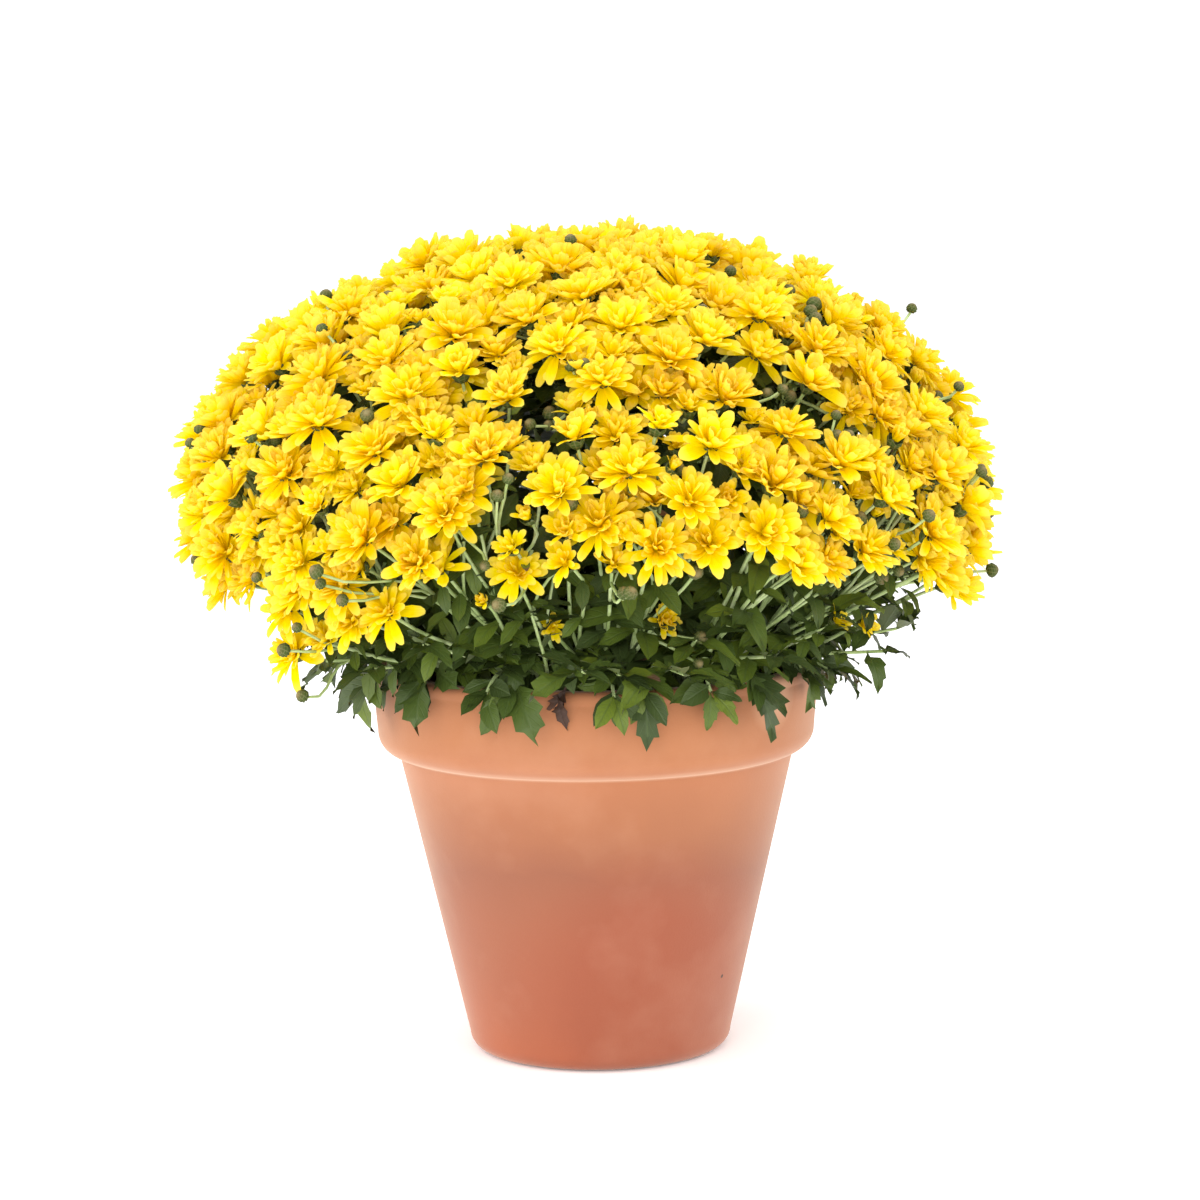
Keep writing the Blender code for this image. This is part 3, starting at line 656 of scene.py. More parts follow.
def face_flowers(sprays):
    """Each flower faces out along the dome and a little up its stalk."""
    for spray in sprays:
        rng = random.Random(SEED + 100 * spray["ring"] + spray["k"])
        for slot in spray["flowers"] + [spray["bud"]]:
            along_stalk = (slot["point"] - spray["fork"]).normalized()
            out = slot["normal"] * FACE_OUT + along_stalk * FACE_ALONG + Vector((0, 0, FACE_UP))
            slot["axis"] = (out.normalized() + stray(rng, FACE_STRAY)).normalized()


def leaned(point):
    """The point, leaned with the plant as it grew towards the light."""
    return Vector((point.x + LEAN * (point.z - SOIL_TOP), point.y, point.z))


sprays = make_sprays()
place_flowers(sprays)
route_stems(sprays)
face_flowers(sprays)
outer_sprays = [spray for spray in sprays if spray["ring"] == OUTERMOST]


# The flower heads
# Semi-double heads of soft ray petals in a spiral: long ones lie out flat, and shorter ones stand up and
# close in round a golden heart. Each petal is a single curved sheet that lets some light through.

PETAL_ROWS = (0.0, 0.30, 0.62, 0.88, 1.0)
PETAL_COLUMNS = (-1.0, -0.45, 0.45, 1.0)
# Kinds of petal, as (width, cup, curl, notch in its tip, crease, twist), where one unit is its length
PETAL_KINDS = (
    (0.35, 0.30, -0.10, 0.04, 0.026, 0.12),
    (0.41, 0.42, 0.12, 0.02, 0.030, -0.10),
    (0.32, 0.22, -0.20, 0.07, 0.022, -0.26),
    (0.38, 0.55, 0.26, 0.00, 0.018, 0.20),
)
PETAL_WIDEST = 0.66
PETAL_LETS_THROUGH = 0.45
# Ranges within which petals differ: tilt, turn and roll in radians, length and breadth as factors
PETAL_TILTS = (-0.24, 0.30)
PETAL_TURNS = (-0.14, 0.14)
PETAL_ROLLS = (-0.30, 0.30)
PETAL_LENGTHS = (0.76, 1.05)
PETAL_BREADTHS = (0.88, 1.22)
# The innermost turn of petals: its radius as a share of the outermost, its height, and its mark for colour
HEART_RING = 0.3
HEART_HEIGHT = 0.08
HEART_TURN_IN = 1.3
# How soon, from the rim inwards, petals stand up and get shorter
TILT_POWER = 1.05
LENGTH_POWER = 0.9
# Kinds of head: open ones first, from broad-petalled to fine-petalled, then some that are still opening.
# Reaches are in head radii, and open and close are the tilts of the outermost and innermost petals.
HEAD_COLUMNS = ("petals", "reach", "heart_reach", "open", "close", "ring", "breadth", "seed")
HEAD_KINDS = (
    (48, 1.00, 0.60, 0.02, 1.25, 0.12, 0.86, 3),
    (42, 1.02, 0.58, 0.16, 1.20, 0.11, 0.94, 14),
    (56, 0.98, 0.62, -0.10, 1.30, 0.13, 0.76, 25),
    (34, 1.04, 0.60, 0.26, 1.15, 0.10, 1.08, 36),
    (44, 1.00, 0.58, -0.16, 1.20, 0.11, 0.90, 47),
    (48, 0.92, 0.68, 0.42, 1.30, 0.11, 0.84, 58),
    (30, 0.78, 0.62, 0.55, 1.30, 0.09, 1.04, 69),
    (22, 0.62, 0.66, 0.50, 1.40, 0.10, 1.00, 91),
    (15, 0.46, 0.78, 1.12, 1.45, 0.10, 1.30, 80),
)
OPEN_KINDS = 6
HEAD_SETBACK = 0.16
FIRST_SIZES = (0.98, 1.06)
HALF_OPEN_SHARE = 0.16
LATER_REACH = 0.074
LATER_APART = 0.0150
LATER_DEPTHS = (0.001, 0.014)
LATER_SIZES = (0.74, 1.0)
LATER_STRAY = 0.25
LATER_HALF_OPEN = 0.45
HOLE_TRIES = 1600
HOLE_APART = 0.0225
HOLE_DEPTHS = (0.006, 0.014)
HOLE_SIZES = (0.86, 1.06)
HOLE_LAST_ANGLE = math.radians(84)
CUP_DEPTH = 0.26
UPTURN = Vector((0, 0, 0.42))
# How far a head reaches to its sides and up its axis, in its radii
PETAL_REACH = 1.06
HEART_RISE = (0.5, 0.5, 0.80)
# The lowest heads, where the most light comes in, as (azimuth in degrees, radius, height, head radius)
LOW_HEADS = (
    (218, 0.202, 0.246, 0.0215),
    (224, 0.196, 0.255, 0.0160),
    (232, 0.204, 0.268, 0.0180),
    (239, 0.205, 0.274, 0.0205),
    (248, 0.205, 0.299, 0.0215),
    (253.5, 0.195, 0.281, 0.0120),
    (259.3, 0.200, 0.297, 0.0175),
    (209, 0.207, 0.284, 0.0200),
    (219, 0.207, 0.272, 0.0200),
    (225, 0.214, 0.284, 0.0215),
    (262, 0.150, 0.262, 0.0105),
    (284, 0.154, 0.264, 0.0110),
    (318, 0.176, 0.258, 0.0105),
    (330, 0.170, 0.252, 0.0090),
)
LOW_STRAY = 0.3
LOW_RISES = (0.1, 0.7)
LOW_HALF_OPEN_UNDER = 0.016
LOW_HALF_OPEN_GROWTH = 1.5


def petal_outline(share):
    """A petal's half width along its length: narrow at the foot, widest at two thirds, blunt at the tip."""
    if share < PETAL_WIDEST:
        return 0.28 + 0.72 * math.sin(math.pi / 2 * share / PETAL_WIDEST) ** 1.1
    return (1 - ((share - PETAL_WIDEST) / 0.37) ** 2.6) ** 0.42


def rows_mesh(name, layer_name, rows, closed=False, tip=False):
    """A mesh through rows of (point, place on its map). A closed one runs round an axis and has a base."""
    bm = bmesh.new()
    layer = bm.loops.layers.uv.new(layer_name)
    rings = [[(bm.verts.new(point), place) for point, place in row] for row in rows]
    base = [vert for vert, _ in rings[0][::-1]]
    top = [vert for vert, _ in rings[-1]]
    if closed:
        for ring in rings:
            ring.append((ring[0][0], (1.0, ring[0][1][1])))
    for low, high in zip(rings, rings[1:]):
        for j in range(len(low) - 1):
            corners = (low[j], low[j + 1], high[j + 1], high[j])
            face = bm.faces.new([vert for vert, _ in corners])
            for loop, (_, place) in zip(face.loops, corners):
                loop[layer].uv = place
    if tip:
        for loop in bm.faces.new(top).loops:
            loop[layer].uv = (0.5, 1.0)
    if closed:
        bm.faces.new(base)
    mesh = bpy.data.meshes.new(name)
    bm.to_mesh(mesh)
    bm.free()
    return mesh


def petal_mesh(name, kind):
    """A petal of length 1 along +Y with its upper face up: creased lengthwise, cupped, curled and twisted."""
    width, cup, curl, notch, crease, twist = kind
    rows = []
    for share in PETAL_ROWS:
        half = width / 2 * petal_outline(share)
        row = []
        for across in PETAL_COLUMNS:
            x = across * half
            y = share - notch * max(0.0, share - 0.8) * 5 * (1 - abs(across))
            y -= 0.06 * across**2 * share
            z = cup * half * across**2 + curl * share**2.2 + twist * x * share
            if abs(across) < 1:
                z -= crease * (1 - share * 0.4)
            row.append(((x, y, z), (across / 2 + 0.5, share)))
        rows.append(row)
    return rows_mesh(name, "petal", rows)


def new_kit(name, meshes):
    """A collection of pattern objects that a tree picks from by their order."""
    kit = bpy.data.collections.new(name)
    bpy.context.scene.collection.children.link(kit)
    for i, mesh in enumerate(meshes):
        kit.objects.link(bpy.data.objects.new(f"{name}_{i:02d}", mesh))
    return kit


def remove_kit(kit):
    for obj in list(kit.objects):
        bpy.data.objects.remove(obj, do_unlink=True)
    bpy.data.collections.remove(kit)


def from_kit(tree, points, kit, pick, rotation, scale):
    choice = add_node(tree, "GeometryNodeCollectionInfo", {
        "Collection": kit,
        "Separate Children": True,
        "Reset Children": True,
    })
    placed = add_node(tree, "GeometryNodeInstanceOnPoints", {
        "Points": points,
        "Instance": choice.outputs["Instances"],
        "Pick Instance": True,
        "Instance Index": pick,
        "Rotation": rotation,
        "Scale": scale,
    })
    return placed.outputs["Instances"]


def marked(tree, geometry, value, domain):
    """The geometry, marked with how far in towards the heart it stands, which the petals' colour reads."""
    inputs = {"Geometry": geometry, "Name": "turn_in", "Value": value}
    node = add_node(tree, "GeometryNodeStoreNamedAttribute", inputs, data_type="FLOAT", domain=domain)
    return node.outputs["Geometry"]


def head_tree():
    """A flower head: petals in a spiral from the rim inwards, each shorter and steeper than the last."""
    tree, given = new_tree("flower_head", {
        "Geometry": "Geometry",
        "Petal Kit": "Collection",
        "Petals": "Int",
        "Reach": "Float",
        "Heart Reach": "Float",
        "Open": "Float",
        "Close": "Float",
        "Ring": "Float",
        "Breadth": "Float",
        "Seed": "Int",
        "Material": "Material",
    })

    def drawn(low, high, step):
        return random_value(tree, low, high, number(tree, "ADD", given["Seed"], float(step)))

    def vector(x, y, z):
        return add_node(tree, "ShaderNodeCombineXYZ", {"X": x, "Y": y, "Z": z}).outputs["Vector"]

    index = tree.nodes.new("GeometryNodeInputIndex").outputs["Index"]
    share = number(tree, "DIVIDE", index, number(tree, "SUBTRACT", given["Petals"], 1.0))
    azimuth = number(tree, "MULTIPLY", index, GOLDEN_ANGLE)
    radius = between(tree, share, given["Ring"], number(tree, "MULTIPLY", given["Ring"], HEART_RING))
    foot = vector(
        number(tree, "MULTIPLY", number(tree, "COSINE", azimuth), radius),
        number(tree, "MULTIPLY", number(tree, "SINE", azimuth), radius),
        number(tree, "MULTIPLY", share, HEART_HEIGHT),
    )
    places = add_node(tree, "GeometryNodePoints", {"Count": given["Petals"], "Position": foot})
    tilt = between(tree, number(tree, "POWER", share, TILT_POWER), given["Open"], given["Close"])
    tilt = number(tree, "ADD", tilt, drawn(*PETAL_TILTS, 0))
    turn = number(tree, "SUBTRACT", azimuth, math.pi / 2)
    turn = number(tree, "ADD", turn, drawn(*PETAL_TURNS, 1))
    angles = vector(tilt, drawn(*PETAL_ROLLS, 2), turn)
    inner = number(tree, "MULTIPLY", given["Reach"], given["Heart Reach"])
    length = between(tree, number(tree, "POWER", share, LENGTH_POWER), given["Reach"], inner)
    length = number(tree, "MULTIPLY", length, drawn(*PETAL_LENGTHS, 3))
    width = number(tree, "MULTIPLY", length, drawn(*PETAL_BREADTHS, 4))
    width = number(tree, "MULTIPLY", width, given["Breadth"])
    petals = from_kit(
        tree,
        places.outputs["Points"],
        given["Petal Kit"],
        number(tree, "FLOOR", drawn(0.0, len(PETAL_KINDS) - 0.01, 5)),
        add_node(tree, "FunctionNodeEulerToRotation", {"Euler": angles}).outputs["Rotation"],
        vector(width, length, length),
    )
    heart = add_node(tree, "GeometryNodeMeshCone", {
        "Vertices": 6,
        "Radius Top": 0.3,
        "Radius Bottom": 1.0,
        "Depth": 1.0,
    })
    pressed = add_node(tree, "GeometryNodeTransform", {
        "Geometry": heart.outputs["Mesh"],
        "Translation": (0.0, 0.0, 0.02),
        "Scale": add_node(tree, "ShaderNodeVectorMath", {
            0: (1.1, 1.1, 0.9),
            "Scale": given["Ring"],
        }, operation="SCALE").outputs[0],
    })
    marked_heart = marked(tree, pressed.outputs["Geometry"], HEART_TURN_IN, "POINT")
    marked_petals = marked(tree, petals, share, "INSTANCE")
    return end_tree(tree, joined(tree, marked_petals, marked_heart), given["Material"])


def set_out_tree():
    """Sets pieces of a kit on points, each along its heading, turned to its front, in its own size."""
    tree, given = new_tree("set_out", {"Geometry": "Geometry", "Kit": "Collection", "Material": "Material"})

    def named(label, kind):
        return add_node(tree, "GeometryNodeInputNamedAttribute", {"Name": label}, data_type=kind).outputs[0]

    upright = add_node(tree, "FunctionNodeAlignRotationToVector", {
        "Vector": named("heading", "FLOAT_VECTOR"),
    }, axis="Z")
    fronted = add_node(tree, "FunctionNodeAlignRotationToVector", {
        "Rotation": upright.outputs["Rotation"],
        "Vector": named("front", "FLOAT_VECTOR"),
    }, axis="X", pivot_axis="Z")
    placed = from_kit(
        tree,
        given["Geometry"],
        given["Kit"],
        named("kind", "INT"),
        fronted.outputs["Rotation"],
        named("size", "FLOAT"),
    )
    return end_tree(tree, placed, given["Material"])


def keep_values(mesh, label, kind, values):
    """Stores one value for each point of the mesh."""
    layer = mesh.attributes.new(label, kind, "POINT")
    for slot, value in zip(layer.data, values):
        setattr(slot, "vector" if kind == "FLOAT_VECTOR" else "value", value)


def points_mesh(name, placed):
    """A mesh of loose points that carry what set_out reads: heading, front, size, kind and a random shade."""
    mesh = bpy.data.meshes.new(name)
    mesh.from_pydata([leaned(item["point"]) for item in placed], [], [])
    kinds = {
        "heading": "FLOAT_VECTOR",
        "front": "FLOAT_VECTOR",
        "size": "FLOAT",
        "shade": "FLOAT",
        "kind": "INT",
    }
    for label, kind in kinds.items():
        keep_values(mesh, label, kind, [item[label] for item in placed])
    return mesh


def map_place(tree, layer_name):
    """The place on a mesh's map, as the sockets across (X) and along (Y)."""
    place = add_node(tree, "ShaderNodeUVMap", uv_map=layer_name).outputs["UV"]
    return add_node(tree, "ShaderNodeSeparateXYZ", {"Vector": place}).outputs


def stored(tree, name):
    return add_node(tree, "ShaderNodeAttribute", attribute_name=name).outputs["Fac"]


def petal_material():
    made, tree, shader = principled("petal", 0.50, 0.02)
    place = map_place(tree, "petal")
    # The last stop whitens the tips: a painted highlight, for the most exposed tips bleaching in bright light
    yellow = ramp(tree, place["Y"], [
        (0.00, (0.965, 0.730, 0.000)),
        (0.30, (0.975, 0.760, 0.001)),
        (0.65, (0.980, 0.770, 0.003)),
        (1.00, (0.980, 0.775, 0.120)),
    ])
    deep = spread(tree, stored(tree, "turn_in"), 0.25, HEART_TURN_IN)
    yellow = coat(tree, yellow, (0.950, 0.710, 0.001), deep, 0.18)
    shade = stored(tree, "shade")
    yellow = add_node(tree, "ShaderNodeHueSaturation", {
        "Hue": spread(tree, shade, 0.0, 1.0, 0.494, 0.507),
        "Value": spread(tree, shade, 0.0, 1.0, 0.96, 1.01),
        "Color": yellow,
    }).outputs["Color"]
    veins = number(tree, "SINE", number(tree, "MULTIPLY", place["X"], 46.0))
    streaks = spread(tree, veins, -1.0, 1.0, 0.95, 1.0)
    streaked = {0: 1.0, 6: yellow, 7: streaks}
    yellow = add_node(tree, "ShaderNodeMix", streaked, data_type="RGBA", blend_type="MULTIPLY").outputs[2]
    tree.links.new(yellow, shader.inputs["Base Color"])
    emboss(tree, shader, veins, 0.35, 0.00015)
    through = add_node(tree, "ShaderNodeBsdfTranslucent", {"Color": yellow})
    sheet = add_node(tree, "ShaderNodeMixShader", {
        0: PETAL_LETS_THROUGH,
        1: shader.outputs["BSDF"],
        2: through.outputs["BSDF"],
    })
    tree.links.new(sheet.outputs["Shader"], tree.nodes["Material Output"].inputs["Surface"])
    return made


petal_finish = petal_material()
petal_kit = new_kit("petal_pattern", [petal_mesh(f"petal_{i}", kind) for i, kind in enumerate(PETAL_KINDS)])
HEADS = head_tree()
SET_OUT = set_out_tree()
head_meshes = []
for kind in HEAD_KINDS:
    patterned = grown(
        HEADS,
        "flower_head",
        bpy.data.meshes.new("flower_head"),
        petal_kit=petal_kit,
        material=petal_finish,
        **dict(zip(HEAD_COLUMNS, kind)),
    )
    head_meshes.append(patterned.data)
    bpy.data.objects.remove(patterned, do_unlink=True)
remove_kit(petal_kit)
head_kit = new_kit("head_pattern", head_meshes)


def side_of(axis, spin):
    """A unit vector square to the axis, turned about it by the spin."""
    side = axis.cross(Vector((0, 0, 1)) if abs(axis.z) < 0.9 else Vector((1, 0, 0))).normalized()
    return Matrix.Rotation(spin, 3, axis) @ side


def pull_in(head):
    """Moves the head in, where its petals would reach out of the box of the solids."""
    where = leaned(head["point"])
    for i, (low, high) in enumerate(zip(*solid_box)):
        way = abs(head["heading"][i])
        reach = head["size"] * (math.sqrt(1 - way**2) * PETAL_REACH + way * HEART_RISE[i])
        inside = min(max(where[i], low + reach), high - reach)
        head["point"][i] += inside - where[i]


def any_kind(half_open, rng):
    return rng.randrange(OPEN_KINDS, len(HEAD_KINDS)) if half_open else rng.randrange(OPEN_KINDS)


def placement(point, heading, front, size, kind, shade):
    """What the set_out tree reads for one piece."""
    return {"point": point, "heading": heading, "front": front, "size": size, "kind": kind, "shade": shade}


def nearest_gap(point, taken):
    return min((point - place).length for place in taken)


def first_heads(spray, rng):
    """The heads at the places laid out above: mostly open, some half open and smaller."""
    heads = []
    for slot in spray["flowers"]:
        kind = any_kind(rng.random() < HALF_OPEN_SHARE, rng)
        point = slot["point"] - slot["axis"] * (HEAD_SETBACK * slot["radius"])
        heading = (slot["axis"] + UPTURN * (1 - slot["normal"].z)).normalized()
        front = side_of(slot["axis"], slot["spin"])
        size = slot["radius"] * rng.uniform(*FIRST_SIZES)
        heads.append(placement(point, heading, front, size, kind, rng.random()))
    return heads


def head_beside(head, point, heading, axis, sizes, half_open, rng):
    """A head on a side stalk from another head's stalk."""
    front = side_of(axis, any_turn(rng))
    size = BLOOM_RADIUS * rng.uniform(*sizes)
    made = placement(point, heading, front, size, any_kind(half_open, rng), rng.random())
    made["beside"] = head
    return made


def add_later_heads(sprays, rng):
    """Heads that opened later, a little deeper, in the gaps between the first ones. Some are half open."""
    first = [(spray, head) for spray in sprays for head in spray["heads"]]
    pairs = [(a, b) for i, a in enumerate(first) for b in first[i + 1 :]]
    pairs = [(a, b) for a, b in pairs if (a[1]["point"] - b[1]["point"]).length < LATER_REACH]
    rng.shuffle(pairs)
    taken = [head["point"] for _, head in first]
    for (spray, head), (_, other) in pairs:
        heading = (head["heading"] + other["heading"]).normalized()
        point = (head["point"] + other["point"]) / 2 - heading * rng.uniform(*LATER_DEPTHS)
        if nearest_gap(point, taken) < LATER_APART:
            continue
        taken.append(point)
        axis = (heading + stray(rng, LATER_STRAY)).normalized()
        half_open = rng.random() < LATER_HALF_OPEN
        spray["heads"].append(head_beside(head, point, axis, axis, LATER_SIZES, half_open, rng))


def fill_holes(sprays, rng):
    """The last heads, where a patch of the dome still has none near it."""
    first = [(spray, head) for spray in sprays for head in spray["heads"] if "beside" not in head]
    taken = [head["point"] for spray in sprays for head in spray["heads"]]
    for i, angle in enumerate(angles_by_area(HOLE_TRIES)):
        azimuth = i * GOLDEN_ANGLE
        if angle > HOLE_LAST_ANGLE:
            break
        axis = dome_normal(angle, azimuth)
        point = dome_point(angle, azimuth) - axis * rng.uniform(*HOLE_DEPTHS)
        if nearest_gap(point, taken) < HOLE_APART:
            continue
        spray, head = min(first, key=lambda item: (item[1]["point"] - point).length)
        taken.append(point)
        heading = (axis + UPTURN * (1 - axis.z)).normalized()
        spray["heads"].append(head_beside(head, point, heading, axis, HOLE_SIZES, False, rng))


def spray_at(point):
    """The outer spray whose flowers are nearest, seen from above."""
    return min(outer_sprays, key=lambda s: (s["middle"] - point).xy.length)


def add_low_heads(rng):
    """Heads on long stalks that hang out beside the pot, below the dome, each on its nearest outer spray."""
    for degrees, radius, height, size in LOW_HEADS:
        azimuth = math.radians(degrees)
        point = polar(radius, azimuth, height)
        turn = azimuth + rng.uniform(-LOW_STRAY, LOW_STRAY)
        heading = polar(1, turn, rng.uniform(*LOW_RISES)).normalized()
        half_open = size < LOW_HALF_OPEN_UNDER
        if half_open:
            size *= LOW_HALF_OPEN_GROWTH
        front = side_of(heading, any_turn(rng))
        head = placement(point, heading, front, size, any_kind(half_open, rng), rng.random())
        spray_at(point)["heads"].append(head)


for count, spray in enumerate(sprays, 1):
    spray["heads"] = first_heads(spray, random.Random(SEED * 5 + count))
add_later_heads(sprays, random.Random(SEED * 9))
fill_holes(sprays, random.Random(SEED * 10))
add_low_heads(random.Random(SEED * 11))
all_heads = [head for spray in sprays for head in spray["heads"]]
for head in all_heads:
    pull_in(head)
for count, spray in enumerate(sprays, 1):
    places = points_mesh("head_places", spray["heads"])
    heads = grown(SET_OUT, f"flower_heads_{count:02d}", places, kit=head_kit, material=petal_finish)
    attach(heads, "root")
    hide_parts(f"spray_{count:02d}_blooms")
remove_kit(head_kit)


# The stems and stalks
# A green stem climbs out of the soil for each spray and breaks into a thin stalk for every head and bud.
# The outermost also throw low side shoots out over the rim. The bark is downy, which greys its green.

STALK_SHARES = ((0.72, 0.98), (0.60, 0.96), (0.40, 0.92))
SIDE_STALK_SHARES = (0.45, 0.78)
STEM_SIDES = 5
STALK_STEPS = 9
SIDE_STALK_STEPS = 5
STEM_RADII = (0.0024, 0.0017)
STALK_RADIUS = 0.0014
SIDE_STALK_RADIUS = 0.0010
LOW_STALK_RADIUS = 0.0015
STALK_TOP_RADIUS = 0.00095
BUD_STALK_RADII = (0.0009, 0.0008)
SHOOT_RADII = (0.0016, 0.0009)
# A stalk that ends lower than this leaves near the foot of the stem and crosses the rim
LOW_STALK_TOP = 0.385
LOW_STALK_SHARES = (0.02, 0.12)
LOW_STALK_STRAY = 0.14
LOW_STALK_CROSSINGS = (0.96, 1.10)
LOW_STALK_LIFTS = (0.006, 0.022)
# Where a curve is pulled up on its way over the rim, as (share of the way there, height)
LOW_STALK_ARCH = (0.55, 0.014)
SHOOT_ARCH = (0.6, 0.008)
# How far a stalk sets out along the stem that it leaves, and how far towards its head
ALONG_STEM = 0.8
TOWARDS_HEAD = 0.5
# How firmly the ends of a stalk hold their direction, as a share of its length
STALK_PULL = 0.38
LOW_STALK_PULL = 0.45
SHOOTS = 5
SHOOT_SPREAD = 0.10
SHOOT_STRAY = 0.10
SHOOT_CROSSING = 0.004
SHOOT_SHARES = (0.06, 0.26)
SHOOT_LIFTS = (0.008, 0.016)
# Where shoots end: some hang just outside the rim, and the others stand out further, as (radii, heights)
HANGING_SHOOT = ((RIM_RADIUS + 0.005, RIM_RADIUS + 0.020), (-0.002, 0.006))
STANDING_SHOOT = ((0.150, 0.182), (0.236, 0.272))
# How far the scales of each kind of bud stand out of its ball
BUD_RELIEFS = (0.14, 0.18)
BUD_SIZE = 0.0066
BUD_SIZES = (0.80, 1.20)
BUD_GROUPS = 4
BUD_TRIES = 8
# How far the buds of a group turn away from each other, and how far under its middle a bud meets its stalk
BUD_FLARE = 30
BUD_BASE = 0.45
BUD_SETBACK = 0.010
BUD_RISE = 0.002
BUD_ASIDE = (0.8, 1.25)
BUD_STRAY = 0.011
BUD_STALK_SHARES = (0.5, 0.8)


def curve_way(points, share):
    """The direction of the smooth curve at a share of its length."""
    low, high = max(share - 0.02, 0), min(share + 0.02, 1)
    return (bezier(points, high) - bezier(points, low)).normalized()


def stalk_curve(start, start_way, end, end_way):
    """Four control points of a stalk that sets out one way and arrives another."""
    reach = (end - start).length * STALK_PULL
    return [start, start + start_way * reach, end - end_way * reach, end]


def tube_points(curve, radii, steps=STALK_STEPS):
    """Points along the curve with the stem's radius at each, from the first radius to the last."""
    first, last = radii
    shares = [i / steps for i in range(steps + 1)]
    return [(bezier(curve, s), first + (last - first) * s) for s in shares]


def low_stalk(curve, base, heading, rng):
    """A long stalk from the foot of the stem, out low over the rim and up to its head."""
    start = bezier(curve, rng.uniform(*LOW_STALK_SHARES))
    azimuth = math.atan2(base.y, base.x) + rng.uniform(-LOW_STALK_STRAY, LOW_STALK_STRAY)
    crossing = RIM_RADIUS * rng.uniform(*LOW_STALK_CROSSINGS)
    over = polar(crossing, azimuth, POT_HEIGHT + rng.uniform(*LOW_STALK_LIFTS))
    rising = start.lerp(over, LOW_STALK_ARCH[0]) + Vector((0, 0, LOW_STALK_ARCH[1]))
    reach = (base - over).length * LOW_STALK_PULL
    return [start, rising, over, base - heading * reach, base]


def grow_stalks(spray, rng):
    """The main stem, and a stalk to every head. Each head keeps the curve of its own stalk."""
    curve = spray["curve"]
    buried = [(curve[0] - Vector((0, 0, STEM_RISE + ROOT_DEPTH)), STEM_RADII[0])]
    spray["tubes"] = [buried + tube_points(curve, STEM_RADII)]
    for i, head in enumerate(spray["heads"]):
        base = head["point"] - head["heading"] * (CUP_DEPTH * head["size"])
        beside = head.get("beside")
        origin = beside["stalk"] if beside else curve
        share = 1.0
        if beside:
            share = rng.uniform(*SIDE_STALK_SHARES)
        elif i:
            share = rng.uniform(*STALK_SHARES[spray["ring"]])
        start = bezier(origin, share)
        towards = (base - start).normalized()
        way = (curve_way(origin, share) * ALONG_STEM + towards * TOWARDS_HEAD).normalized()
        radius = SIDE_STALK_RADIUS if beside else STALK_RADIUS
        if spray["ring"] == OUTERMOST and not beside and i and base.z < LOW_STALK_TOP:
            head["stalk"] = low_stalk(curve, base, head["heading"], rng)
            radius = LOW_STALK_RADIUS
        else:
            head["stalk"] = stalk_curve(start, way, base, head["heading"])
        steps = SIDE_STALK_STEPS if beside else STALK_STEPS
        spray["tubes"].append(tube_points(head["stalk"], (radius, STALK_TOP_RADIUS), steps))


def grow_shoots(spray, rng):
    """Side shoots from low on an outer stem: over the rim, then rising outwards or hanging down."""
    spray["shoots"] = []
    if spray["ring"] != OUTERMOST:
        return
    for i in range(SHOOTS):
        aside = (i - (SHOOTS - 1) / 2) * SHOOT_SPREAD
        azimuth = spray["azimuth"] + aside + rng.uniform(-SHOOT_STRAY, SHOOT_STRAY)
        start = bezier(spray["curve"], rng.uniform(*SHOOT_SHARES))
        over = polar(RIM_RADIUS - SHOOT_CROSSING, azimuth, POT_HEIGHT + rng.uniform(*SHOOT_LIFTS))
        radii, heights = HANGING_SHOOT if i % 2 else STANDING_SHOOT
        radius = rng.uniform(*radii)
        end = polar(radius, azimuth, rng.uniform(*heights) + (POT_HEIGHT if i % 2 else 0))
        rising = start.lerp(over, SHOOT_ARCH[0]) + Vector((0, 0, SHOOT_ARCH[1]))
        curve = [start, rising, over, end]
        spray["shoots"].append(curve)
        spray["tubes"].append(tube_points(curve, SHOOT_RADII))


def outside_box(point, margin):
    """Whether the point, once leaned, lies out of the box of the solids or within the margin of its sides."""
    return any(not low + margin < at < high - margin for at, low, high in zip(leaned(point), *solid_box))


def grow_buds(spray, taken, rng):
    """Buds on short side stalks: a group at the spray's own bud, and some more beside its heads."""
    spray["buds"] = []
    own = spray["bud"]
    groups = [(own["point"] - own["axis"] * BUD_SETBACK, own["axis"], spray["heads"][0])]
    for head in rng.sample(spray["heads"], BUD_GROUPS):
        tries = []
        for _ in range(BUD_TRIES):
            side = side_of(head["heading"], any_turn(rng))
            aside = side * rng.uniform(*BUD_ASIDE) * head["size"]
            point = head["point"] + aside + head["heading"] * BUD_RISE
            tries.append((nearest_gap(point, taken), point))
        groups.append((max(tries, key=lambda item: item[0])[1], head["heading"], head))
    for middle, axis, head in groups:
        for _ in range(rng.randint(1, 3)):
            aside = stray(rng, BUD_STRAY)
            point = middle + aside
            if outside_box(point, BUD_SIZE) or nearest_gap(point, taken) < BUD_SIZE:
                continue
            way = (axis + aside * BUD_FLARE).normalized()
            share = rng.uniform(*BUD_STALK_SHARES)
            start = bezier(head["stalk"], share)
            size = BUD_SIZE * rng.uniform(*BUD_SIZES)
            base = point - way * (BUD_BASE * size)
            curve = stalk_curve(start, curve_way(head["stalk"], share), base, way)
            spray["tubes"].append(tube_points(curve, BUD_STALK_RADII, SIDE_STALK_STEPS))
            front = side_of(way, any_turn(rng))
            kind = rng.randrange(len(BUD_RELIEFS))
            spray["buds"].append(placement(point, way, front, size, kind, rng.random()))
            taken.append(point)


